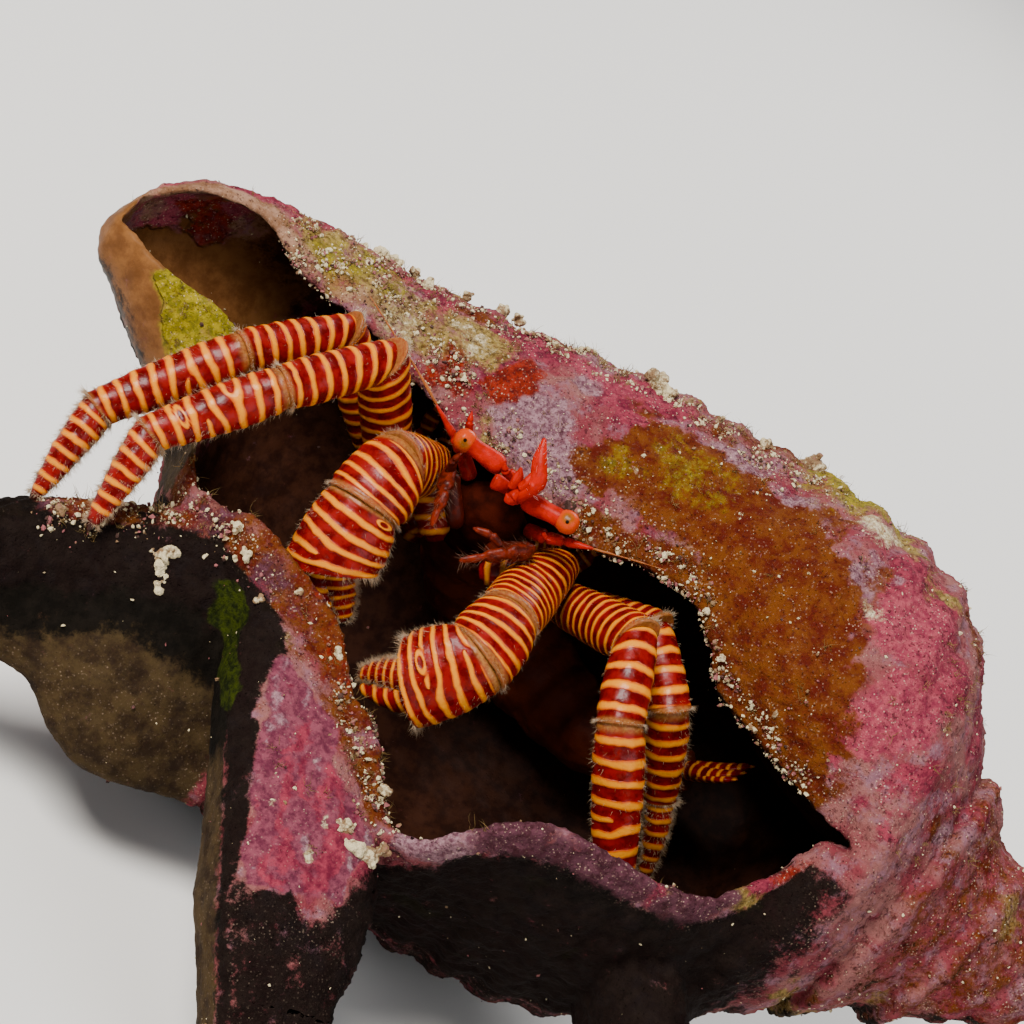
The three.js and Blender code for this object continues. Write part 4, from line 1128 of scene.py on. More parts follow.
    @staticmethod
    def band_share(p: Array, band: Sequence[Sequence[float]], soft: float, hard: float,
                   fray: Array | float = 0.0) -> Array:
        """How much each point belongs to a band laid along a line.

        Args:
            p: points.
            band: the band's points, each with its half-width as a fourth number.
            soft: how far inside its edge the band is full.
            hard: how far outside its edge it has gone.
            fray: how far the edge is pushed in at each point.

        Returns:
            Shares, 1 inside and 0 outside.
        """
        knots = np.array(band, float)
        u = np.linspace(0, len(knots) - 1, 12 * len(knots))
        line = path_points(knots[:, :3].tolist(), u)
        width = np.interp(u, np.arange(len(knots)), knots[:, 3])
        near = np.linalg.norm(p - line.mean(0), axis=1) < np.ptp(line, axis=0).max() + width.max() + 4
        out = np.full(len(p), 99.0)
        out[near] = (np.linalg.norm(p[near][:, None] - line[None], axis=2) - width[None]).min(axis=1)
        return 1 - smoothstep(out + fray, -soft, hard)

    def left_crest(self, x: Array) -> Array:
        """Height of the crest of the left finger and of the lip beside it."""
        return knot_curve([[-70, -52], [-62, -44], [-54, -34.4], [-44, -25.6], [-33, -20.0], [-27, -16.4],
                           [-21, -14.8], [-14, -15.8], [-9, -17.4], [0, -21]])(x)

    def front_facet(self, p: Array) -> tuple[Array, Array, Array, Array]:
        """The worn facet down the front finger, and the flank left of it that lies in painted shade.

        Both are bounded by curves of down, the distance down the finger's face, and across, that across it.

        Returns:
            Shares of the facet and of the flank, and the distances down and across.
        """
        across = p @ np.array([0.8, 0.254, 0.544])
        down = p @ np.array([0.6, -0.338, -0.725])
        left = knot_curve([[18, -25.0], [22, -26.6], [28, -27.0], [34, -27.4], [44, -28.6]])(down)
        right = knot_curve([[18, -24.6], [21.5, -22.8], [24, -20.2], [29, -18.9], [33, -18.3], [36, -16.6],
                            [39, -14.4], [41, -16.2], [44, -18.6]])(down)
        wander = 0.8 * layered_noise(p * np.array([1, 0.7, 0.7]), 2.4, 4, 121)
        inside = np.minimum(across - left, right - across) + wander
        ends = np.minimum(down - 19.4, 43.6 + 0.12 * (across + 22) - down)
        inside = np.minimum(inside, ends + 1.4 * wander)
        near = np.linalg.norm((p - np.array([1.5, -39.5, -26.5])) * [0.8, 0.8, 1], axis=1) < 20
        facet = smoothstep(inside, -0.5, 0.6) * near
        flank = smoothstep(left - across + wander, -0.3, 0.8) * smoothstep(across, -37.5, -35.5)
        far = np.linalg.norm(p - np.array([4, -44, -32]), axis=1)
        flank = flank * smoothstep(down, 20, 24) * smoothstep(-p[:, 1], 27.0, 30.5)
        flank = flank * (1 - smoothstep(far, 22, 28))
        return facet, flank * (1 - facet), down, across

    def crusted(self, skin: Piece) -> Growths:
        """Lifts the crust off the skin and returns its growths.

        Height = lumps, round nodules and fine grit, which fade where the shell is bare, and low ribs
        round the outside of the canal.
        """
        p, n = crab_points(skin.data), normals_of(skin.data)
        found = self.growths(p, n)
        bare = found["hollow"] * 0.8 + found["cream"] + 0.8 * found["peach"] + 0.6 * found["grey"]
        bare = np.clip(bare, 0, 1)
        lumps = layered_noise(p, 9.0, 3, 2) * 0.7 + layered_noise(p, 2.6, 3, 4) * 0.42
        nodules = 1 - np.clip(cell_distance(p, 2.3, 6) / 0.75, 0, 1) ** 2
        grit = 1 - np.clip(cell_distance(p, 0.95, 9) / 0.7, 0, 1)
        lift = self.crust * (lumps + 0.9 * nodules - 0.2) + 0.34 * grit
        x = p[:, 0]
        climb = -0.6 * x + 0.8 * (self.upright[0] * p[:, 1] + self.upright[1] * p[:, 2])
        ribs = np.sin(TAU * (climb + 0.45 * layered_noise(p, 5.0, 3, 31)) / 1.15)
        ribs = ribs * 0.04 * (1 - smoothstep(x, -40, -34)) * (1 - self.lining(p))
        ribs = ribs * smoothstep(p[:, 2], -20, -16)
        p = p + n * ((1 - bare) * lift + bare * 0.1 * lattice_noise(p, 2.0, 14) + ribs)[:, None]
        p[:, 2] = np.maximum(p[:, 2], self.floor)
        move_points(skin.data, p)
        return found

    def region(self, p: Array) -> Array:
        """Which piece each point is in: 0 canal, 1 and 2 the body whorl, 3 spire, 4 to 6 the fingers.

        The shell is cut across at three places along it, and each finger at one point of its own path.
        """
        found = np.searchsorted(self.cuts, p[:, 0])
        for k, (finger, start) in enumerate(zip(self.fingers.values(), self.finger_cuts)):
            a, b = path_points(finger.path, np.array([start, start + 0.2]))
            beyond = (p - a) @ unit(b - a) > 0
            line = path_points(finger.path, np.linspace(start - 0.3, len(finger.path) - 1, 30))
            gap = np.min(np.linalg.norm(p[:, None] - line[None], axis=2), axis=1)
            found = np.where(beyond & (gap < self.finger_reach), len(self.cuts) + 1 + k, found)
        return found

    def build(self) -> list[Piece]:
        """Builds the shell and cuts it into its named pieces.

        Returns:
            The pieces, riding on the body.
        """
        skin = self.solid()
        for name, value in self.crusted(skin).items():
            set_value(skin.data, name, value)
        nodes = {"shell_siphonal_canal": ("shell_canal",),
                 "shell_body_whorl_front": ("shell_roof", "shell_bowl"),
                 "shell_body_whorl_rear": ("shell_roof", "shell_bowl"),
                 "shell_spire_whorls": ("shell_spire",),
                 "shell_lip_finger_left": ("shell_finger_left",),
                 "shell_lip_finger_front": ("shell_finger_front",),
                 "shell_lip_finger_right": ("shell_finger_right",)}
        pieces = split(skin, self.region, list(nodes))
        for piece in pieces:
            piece.data.materials.append(Finish.CRUST.made())
            placed(piece, "shell_crust", *nodes[piece.name])
        return pieces


def split(skin: Piece, region: Callable[[Array], Array], names: Sequence[str]) -> list[Piece]:
    """Cuts a closed skin into closed pieces that share their surface normals where they meet.

    Args:
        skin: the closed mesh object, which is removed.
        region: piece number for points in the crab's frame.
        names: the pieces' names, in number order.

    Returns:
        One object for each name.
    """
    mesh = skin.data
    points, normals, faces = points_of(mesh), normals_of(mesh), corners_of(mesh)
    fields = [a.name for a in mesh.attributes if a.data_type == "FLOAT" and a.domain == "POINT"]
    values = {name: value_of(mesh, name) for name in fields}
    label = region(points[faces].mean(1) / MM - HOME_MM)
    pieces = []
    for k, name in enumerate(names):
        mine = faces[label == k]
        used, index = np.unique(mine, return_inverse=True)
        quads = index.reshape(-1, 4)
        caps = rim_caps(quads, points[used])
        piece_mesh = mesh_of(name, points[used], quads, caps)
        for key, value in values.items():
            set_value(piece_mesh, key, value[used])
        piece_mesh.normals_split_custom_set_from_vertices(normals[used].astype(np.float32))
        pieces.append(link(name, piece_mesh, None))
    bpy.data.objects.remove(skin)
    return pieces


def rim_caps(quads: Array, points: Array) -> Array:
    """Triangles that close each open rim of a sheet of four-sided faces.

    Each rim is followed round from edge to edge and filled as one flat-looking polygon.
    """
    a, b = quads.ravel(), np.roll(quads, -1, axis=1).ravel()
    key = np.minimum(a, b).astype(np.int64) * len(points) + np.maximum(a, b)
    _, first, times = np.unique(key, return_index=True, return_counts=True)
    open_edges = first[times == 1]
    following: dict[int, list[int]] = {}
    for start, end in zip(b[open_edges].tolist(), a[open_edges].tolist()):
        following.setdefault(start, []).append(end)
    caps = []
    while following:
        start = next(iter(following))
        rim = [start]
        while True:
            onward = following[rim[-1]]
            step = onward.pop()
            if not onward:
                del following[rim[-1]]
            if step == start:
                break
            rim.append(step)
        if len(rim) > 2:
            loop = points[rim]
            filled = np.array(tessellate_polygon([[Vector(q) for q in loop]]), int).reshape(-1, 3)
            facing = np.cross(loop - loop[0], np.roll(loop, -1, axis=0) - loop[0]).sum(0)
            p, q, r = (loop[filled[:, c]] for c in range(3))
            if np.cross(q - p, r - p).sum(0) @ facing < 0:
                filled = filled[:, ::-1]
            caps.append(np.array(rim)[filled])
    return np.concatenate(caps) if caps else np.zeros((0, 3), int)


SHELL_PATCHES = (
    Patch("green", (-37.4, -5.4, -4.8), 4.4, (0.75, 1, 0.8), 1.1, True),
    Patch("green", (-42.0, -5.3, -3.7), 2.8, (0.6, 1, 1), 1.0, True),
    Patch("magenta", (-42, 8, 4.2), 2.6, (1, 1, 1), 0.7, True),
    # Partly painted light: this rose patch and the two peach patches below lay crust paler than its own
    # colour, where light falls inside the roof near the canal.
    Patch("rose", (-52.8, 7.4, -1.4), 4.0, (1, 1, 1), 0.95, True),
    Patch("sponge", (-48.6, 10.9, -0.9), 4.2, (1, 1, 1), 0.75, True),
    Patch("rose", (-46.6, 11.4, 0.8), 2.6, (1, 1, 1), 0.6, True),
    Patch("peach", (-53.4, 6.6, -1.8), 2.4, (1, 1, 1), 0.5, True),
    Patch("peach", (-44.0, 13.8, 0.2), 3.4, (1, 1, 1), 0.6, True),
    Patch("grey", (-32.9, -9.6, -16.4), 6.4, (0.9, 0.9, 0.7), 0.95, True),
    Patch("rust", (-28.5, -15.5, -18.5), 3.8, (1, 1, 1), 0.9, True),
    Patch("sand", (-34.5, 8.4, 6.0), 5.6, (0.7, 1, 1), 0.7),
    Patch("green", (-33.0, 7.4, 6.4), 3.0, (0.7, 1, 1), 0.7),
    Patch("sand", (-27.0, 9.6, 6.4), 5.0, (0.7, 1, 1), 0.7),
    Patch("peach", (-27.0, 6.4, 5.0), 2.6, (0.6, 1, 1), 0.6),
    Patch("green", (-28.0, 12.0, 7.0), 3.0, (0.6, 1, 1), 0.5),
    Patch("lilac", (-25.0, 10.4, 6.2), 3.4, (0.7, 1, 1), 0.75),
    Patch("rose", (-31.6, 6.6, 5.6), 2.2, (0.7, 1, 1), 0.6),
    Patch("sand", (-19.0, 8.6, 5.2), 5.0, (0.7, 1, 1), 0.75),
    Patch("white", (-21.0, 7.6, 4.8), 2.6, (0.8, 1, 1), 0.7),
    Patch("sponge", (-13.9, 6.5, 4.1), 3.4, (0.8, 1, 1)),
    Patch("sponge", (-6.8, 8.0, 6.2), 3.2, (1.2, 0.8, 0.8), 1.0, True),
    Patch("white", (-14.4, 10.3, 6.2), 2.6, (0.8, 1, 1), 0.45),
    Patch("sand", (-13.4, 11.3, 6.2), 4.0, (0.8, 1, 1), 0.8),
    Patch("white", (38.5, 9.9, 17.6), 3.0, (1, 1, 1), 0.7),
    Patch("lilac", (-2.2, 5.3, 4.6), 4.2, (0.7, 1, 1)),
    Patch("lilac", (3.4, 3.1, 3.8), 3.6, (0.7, 1, 1)),
    Patch("lilac", (-22, 8, 5), 3.4),
    Patch("green", (9, 5.1, 7.5), 3.4, (0.8, 1, 1), 0.32),
    Patch("rust", (10.5, 5.1, 8.0), 5.6, (0.8, 1, 1), 0.5),
    Patch("green", (17.5, 7.2, 11.2), 5.0, (0.7, 1, 1), 0.28),
    Patch("rust", (17.0, 4.6, 9.4), 7.4, (0.8, 1, 1), 0.75),
    Patch("green", (34, 17.3, 16), 7.0, (1, 1, 1), 0.95),
    Patch("lilac", (20, 12.5, 14.2), 4.0, (0.7, 1, 1), 0.9),
    Patch("lilac", (30, 8.6, 15.2), 3.6, (0.7, 1, 1), 0.9),
    Patch("lilac", (40, 1.8, 15.8), 3.2, (0.8, 1, 1), 1.0),
    Patch("white", (42.0, -0.6, 15.4), 2.0, (0.7, 1, 1), 0.6),
    Patch("rose", (47.5, -1.6, 15.8), 5.6, (0.8, 1, 1), 0.95),
    Patch("rose", (50.5, -8.0, 9.0), 5.0, (1, 1, 0.8), 0.9),
    Patch("rose", (2.0, 16.0, 10.5), 4.0, (0.5, 1, 1), 0.6),
    Patch("sand", (34.0, -1.6, 9.8), 4.0, (0.8, 1, 1), 0.5),
    Patch("rust", (12, -0.6, 1.0), 4.0, (0.45, 1, 1), 0.9),
    Patch("rust", (22.4, -2.1, 3.2), 4.0, (0.45, 1, 1), 0.9),
    Patch("rust", (33.5, -7.2, -1.6), 4.0, (0.5, 1, 1), 0.9),
    Patch("rust", (44.7, -9.9, -3.5), 4.0, (0.5, 1, 1), 0.9),
    Patch("magenta", (-22, 12.2, 6.6), 6.0, (0.8, 1, 1)),
    Patch("magenta", (-7.1, 18.1, 8.3), 7.0, (0.8, 1, 1)),
    Patch("magenta", (6.8, 13.9, 11.5), 6.0, (0.8, 1, 1)),
    Patch("magenta", (45.5, 4.6, 17.2), 6.0),
    Patch("magenta", (51.4, -2.2, 14.5), 6.0),
    Patch("magenta", (46.5, -10, 0.8), 3.4, (0.7, 1, 1)),
    Patch("sponge", (-10.5, -22.6, -17.4), 4.6, (0.7, 1, 1), 0.36),
    Patch("sponge", (-2.5, -26.4, -19.0), 4.2, (0.8, 1, 1), 0.34),
    Patch("rose", (-17.0, -22.6, -17.6), 2.0, (1, 1, 1), 0.9),
    Patch("sand", (-14.0, -23.6, -18.6), 2.4, (1, 1, 1), 0.8),
    Patch("rust", (-12.0, -22.4, -18.4), 5.0, (0.8, 1, 1), 0.9),
    Patch("rust", (-5.0, -24.6, -17.0), 5.0, (0.8, 1, 1), 0.9),
    Patch("rust", (2.0, -28.0, -19.4), 4.0, (0.8, 1, 1), 0.9),
    Patch("rust", (0.1, -28.3, -19.6), 3.6, (0.8, 1, 1), 0.9),
    Patch("rust", (8.8, -33.5, -24.8), 4.0, (0.8, 1, 1), 0.9),
    # Painted shade on the front finger's lower faces, with some dark algae.
    Patch("murk", (8.5, -52.6, -35.4), 5.4, (0.8, 1, 1), 0.95, True),
    Patch("murk", (16.1, -46.5, -36.4), 7.0, (1, 1, 0.8), 0.95, True),
    Patch("murk", (14, -55, -44), 10.0, (1, 1, 0.7), 0.9, True),
    Patch("lilac", (17.4, -36, -21.1), 4.4),
    Patch("plum", (23, -35.8, -15.5), 5.0, (1, 1, 1), 1.2),
    Patch("plum", (32.7, -32, -15.7), 5.4, (0.7, 1, 1), 1.2),
    Patch("plum", (44.4, -26, -15.1), 5.0, (0.8, 1, 1), 1.2),
    Patch("magenta", (48.5, -20, -12.4), 4.0, (0.8, 1, 1)),
    Patch("sponge", (50.4, -17.3, -9.8), 3.0, (1, 1, 1), 0.7),
    # Painted shade low on the lip, with some dark algae.
    Patch("murk", (30.5, -27.5, -36.1), 12.0, (0.7, 1, 1), 0.9),
)
RUST_BAND = ((6.5, 3.4, 5.6, 2.4), (10.5, 5.6, 8.6, 4.4), (17.9, 6.4, 10.4, 6.0), (26.8, 4.2, 10.8, 7.0),
             (34.6, -1.4, 9.8, 6.6), (40.6, -6.2, 7.0, 4.9), (45.4, -9.2, 3.8, 3.8))
RIM_BAND = ((10.0, 0.6, 1.6, 2.0), (16.0, -0.6, 2.6, 2.8), (22.4, -2.1, 3.4, 3.6), (28.0, -4.4, 2.8, 4.2),
            (33.5, -6.4, 1.0, 5.2), (39.0, -8.4, 0.2, 5.0), (44.4, -9.9, -2.0, 3.6),
            (47.0, -11.0, -2.6, 2.0))
MOSS_BAND = ((-19.0, -22.8, -21.0, 1.2), (-17.0, -24.0, -23.0, 2.6), (-15.2, -25.8, -23.6, 3.2),
             (-13.4, -28.2, -24.0, 3.0), (-10.6, -32.4, -24.4, 1.7))


# --------------------------------------------------------------------------- limbs

class Part(Enum):
    """Segments of a walking limb, from the body outward."""

    ISCHIUM = 0
    MERUS = 1
    CARPUS = 2
    PROPODUS = 3
    DACTYL = 4


@dataclass
class Bands:
    """Orange striae of one segment, measured along it from its first joint and across it from its middle.

    The stria count at a point is (along + slant * across + bow * across^2) / spacing + start, plus a
    share of a turn round each fork, so that one line more runs on its one side than on its other.
    Round the middle of a loop the lines close into ovals.
    """

    spacing: float = 2.0
    start: float = 0.0
    slant: float = 0.0
    bow: float = 0.0
    forks: tuple = ()
    loops: tuple = ()
    wander: float = 0.1

    def height(self, along: Array, across: Array, place: Array) -> Array:
        """Crest height of the striae, -1 in the middle of the red and 1 on an orange line.

        Args:
            along: distance along the segment.
            across: distance across it.
            place: the points themselves, which set how the lines wander.

        Returns:
            The heights.
        """
        drift = self.wander * layered_noise(place, 2.6, 3, 41)
        drift = drift + 0.4 * self.wander * lattice_noise(place, 0.8, 43)
        count = (along + self.slant * across + self.bow * across ** 2) / self.spacing + self.start + drift
        for sense, fork_along, fork_across in self.forks:
            count = count + sense * np.arctan2(along - fork_along, across - fork_across) / TAU
        height = np.cos(TAU * count)
        for ring_along, ring_across, long, broad in self.loops:
            away = np.hypot((along - ring_along) / long, (across - ring_across) / broad)
            height = height + (1 - smoothstep(away, 1.25, 1.8)) * (np.cos(TAU * (away - 1) / 1.7) - height)
        return height


@dataclass
class Segment:
    """One limb segment: a tube between two joints, cut slanting at each joint so that neighbours meet.

    A ring's point is centre + wide * cos a * side + thick * sin a * flat, moved along the segment by
    -k * (its offset . mitre) / (direction . mitre), where k is 1 at a joint and nothing half-way.
    """

    name: str
    before: Array
    start: Array
    end: Array
    after: Array
    wide: float
    thick: float
    bands: Bands
    part: Part
    cuff: float = 0.0
    step: float = 0.17
    arch: float = 0.9
    relief: float = 0.075
    follow: float = 0.6
    taper: float = 1.0
    cuff_reach: float = 0.75
    fixed_finger: Optional[Array] = None

    def __post_init__(self) -> None:
        """Works out the segment's axes and the mitre planes of both joints."""
        self.length = float(np.linalg.norm(self.end - self.start))
        self.line = unit(self.end - self.start)
        self.side = unit(np.cross(self.line, VIEWED))
        self.flat = np.cross(self.side, self.line)
        near = unit(unit(self.start - self.before) + self.line)
        far = unit(self.line + unit(self.after - self.end))
        self.mitres = (self.line if self.part is Part.ISCHIUM else near,
                       self.line if self.part is Part.DACTYL else far)

    def profile(self) -> tuple[Array, Array]:
        """Places along the segment in mm and the share of its full breadth at each."""
        n = max(24, int(self.length / self.step))
        if self.part is Part.DACTYL:
            share = knot_curve([[-0.12, 0.6], [-0.04, 0.84], [0.06, 0.97], [0.16, 1.0], [0.5, 0.84],
                                [0.8, 0.56], [0.93, 0.32], [0.985, 0.13], [1, 0.03]])
            u = np.linspace(-0.12, 1, n)
            return u * self.length, share(u)
        a, b, far = -1.1, self.length + 0.25, self.taper
        y = np.linspace(a, b, n)
        share = knot_curve([[a, 0.45], [a + 0.5, 0.62], [0, 0.8], [0.6, 0.9], [0.3 * b, 1.0],
                            [0.6 * b, 0.5 + 0.56 * far], [0.84 * b, 0.15 + 0.9 * far], [b - 0.7, 1.01 * far],
                            [b - 0.25, 1.03 * far], [b, 0.97 * far]])
        lip = np.array([[b - 0.02, 0.9 * far], [b - 0.12, 0.8 * far]])
        return np.concatenate([y, lip[:, 0]]), np.concatenate([share(y), lip[:, 1]])

    def spoke(self, share: Array, angle: Array) -> Array:
        """From the line out to the skin at an angle round it, for a share of the full breadth."""
        across = (share * self.wide * np.cos(angle))[..., None] * self.side
        return across + (share * self.thick * np.sin(angle))[..., None] * self.flat

    def slant(self, offset: Array, u: Array) -> Array:
        """How far back along the line a point off it lies, so that both ends follow their mitres."""
        shift = 0.0
        for mitre, share in zip(self.mitres, (1 - smoothstep(u, 0, 0.55), smoothstep(u, 0.45, 1))):
            shift = shift + share * (offset @ mitre) / float(self.line @ mitre)
        return shift

    def bow(self, u: Array) -> Array:
        """How far the dactyl arches up at shares of its length; the other segments are straight."""
        height = self.arch if self.part is Part.DACTYL else 0.0
        return height * np.sin(math.pi * np.clip(u, 0, 1))[:, None] * UP

    def rings(self, sides: int = 72) -> Array:
        """The tube's rings."""
        y, share = self.profile()
        u = y / self.length
        offset = self.spoke(share[:, None], TAU * np.arange(sides)[None] / sides)
        centre = self.start + y[:, None] * self.line + self.bow(u)
        return centre[:, None] + offset - self.slant(offset, u[:, None])[..., None] * self.line

    def along(self, p: Array) -> tuple[Array, Array]:
        """Distance along the segment, following the slant of its joints, and distance across it."""
        rel = p - self.start
        y = rel @ self.line
        offset = rel - y[..., None] * self.line
        return y + self.follow * self.slant(offset, y / self.length), rel @ self.side

    def dressed(self, p: Array, n: Array) -> tuple[Array, dict[str, Array]]:
        """Raises the striae off the surface and works out the point values of the finish.

        Args:
            p: points.
            n: their normals.

        Returns:
            The moved points and their values.
        """
        y, x = self.along(p)
        band = self.bands.height(y, x, p)
        rim = self.cuff * (1 - smoothstep(y, 0.25 * self.cuff_reach, self.cuff_reach))
        far_rim = 0.75 * smoothstep(y, self.length - 0.35, self.length + 0.1)
        horn = np.zeros(len(p))
        if self.fixed_finger is not None:
            far_rim = np.zeros(len(p))
            horn = 1 - smoothstep(np.linalg.norm(p - self.fixed_finger, axis=1), 0.5, 1.0)
        rim = np.maximum(rim, far_rim)
        if self.part is Part.DACTYL:
            rim = rim * 0
            horn = smoothstep(y / self.length, 0.86, 0.95)
        calm = (1 - rim) * (1 - horn)
        swell = 0.08 * layered_noise(p, 2.2, 3, 51)
        lift = self.relief * (smoothstep(band, -0.4, 0.9) - 0.3) * calm + swell
        return p + n * lift[:, None], {"band": band * calm - (1 - calm), "rim": rim, "horn": horn}

    def piece(self, core: Optional[Piece] = None) -> Piece:
        """The finished segment.

        Args:
            core: a skin already made for it; its own tube where there is none.

        Returns:
            The object.
        """
        made = core or Surface().tube(self.rings()).build(self.name)
        p, values = self.dressed(crab_points(made.data), normals_of(made.data))
        move_points(made.data, p)
        for key, value in values.items():
            set_value(made.data, key, value)
        made.data.materials.append(Finish.BANDED.made())
        return made


@dataclass
class Bristles:
    """Hairs gathered for one coat: roots, directions and lengths, made into thin three-sided cones."""

    roots: list = field(default_factory=list)
    ways: list = field(default_factory=list)
    lengths: list = field(default_factory=list)
    places: list = field(default_factory=list)
    radius: float = 0.02
    joints: int = 3
    seed: int = 7

    def sow(self, roots: Array, ways: Array, lengths: Array, places: Array) -> None:
        """Adds hairs.

        Args:
            roots: root points.
            ways: directions, of any length.
            lengths: lengths in mm.
            places: each root's place on an unwrap of the skin, 0 to 1 both ways.
        """
        self.roots.append(roots)
        self.ways.append(ways)
        self.lengths.append(lengths)
        self.places.append(places)

    def build(self, name: str, finish: Finish, droop: float = 0.25) -> Piece:
        """Makes the joined cones.

        A ring at share v of a hair is round root + v * length * way + droop * v^2 * length * bend, where
        bend is square to way and points anywhere, and its radius is radius * (1 - v)^0.7.

        Args:
            name: the piece's name.
            finish: its finish.
            droop: how far a tip bends over.

        Returns:
            The object.
        """
        root, way = np.concatenate(self.roots), unit(np.concatenate(self.ways))
        length, place = np.concatenate(self.lengths), np.concatenate(self.places)
        n = len(root)
        rng = np.random.default_rng(self.seed)
        bend = unit(np.cross(way, unit(rng.normal(size=(n, 3)))))
        side = unit(np.cross(way, bend))
        v = np.arange(self.joints) / self.joints
        a = TAU * np.arange(3) / 3
        centre = root[:, None] + (v * length[:, None])[..., None] * way[:, None]
        centre = centre + (droop * v ** 2 * length[:, None])[..., None] * bend[:, None]
        thick = self.radius * (1 - v) ** 0.7
        spread = np.cos(a)[:, None] * bend[:, None] + np.sin(a)[:, None] * side[:, None]
        body = centre[:, :, None] + thick[None, :, None, None] * spread[:, None]
        tip = (root + length[:, None] * way + droop * length[:, None] * bend)[:, None]
        points = np.concatenate([body.reshape(n, -1, 3), tip], 1)
        faces = [(0, 2, 1)]
        for ring in range(self.joints - 1):
            for k in range(3):
                p, q = ring * 3 + k, ring * 3 + (k + 1) % 3
                faces += [(p, q, q + 3), (p, q + 3, p + 3)]
        last = 3 * (self.joints - 1)
        faces += [(last + k, last + (k + 1) % 3, last + 3) for k in range(3)]
        shade = np.repeat(rng.random((n, 1)) * 0.6, points.shape[1], 1)
        made = Surface().copies(points, np.array(faces), shade=shade).build(name, finish.made())
        patch = 0.003 * np.stack([np.cos(a), np.sin(a)], 1)
        flat = np.concatenate([np.tile(patch, (self.joints, 1)) * np.repeat(1 - v, 3)[:, None], [[0, 0]]])
        spots = np.clip(place[:, None] * 0.98 + 0.01 + 0.5 * flat[None], 0, 1).reshape(-1, 2)
        layer = made.data.uv_layers.new(name="OFBake")
        loops = read(made.data.loops, "vertex_index", len(made.data.loops), np.int32)
        layer.data.foreach_set("uv", spots[loops].astype(np.float32).ravel())
        return made


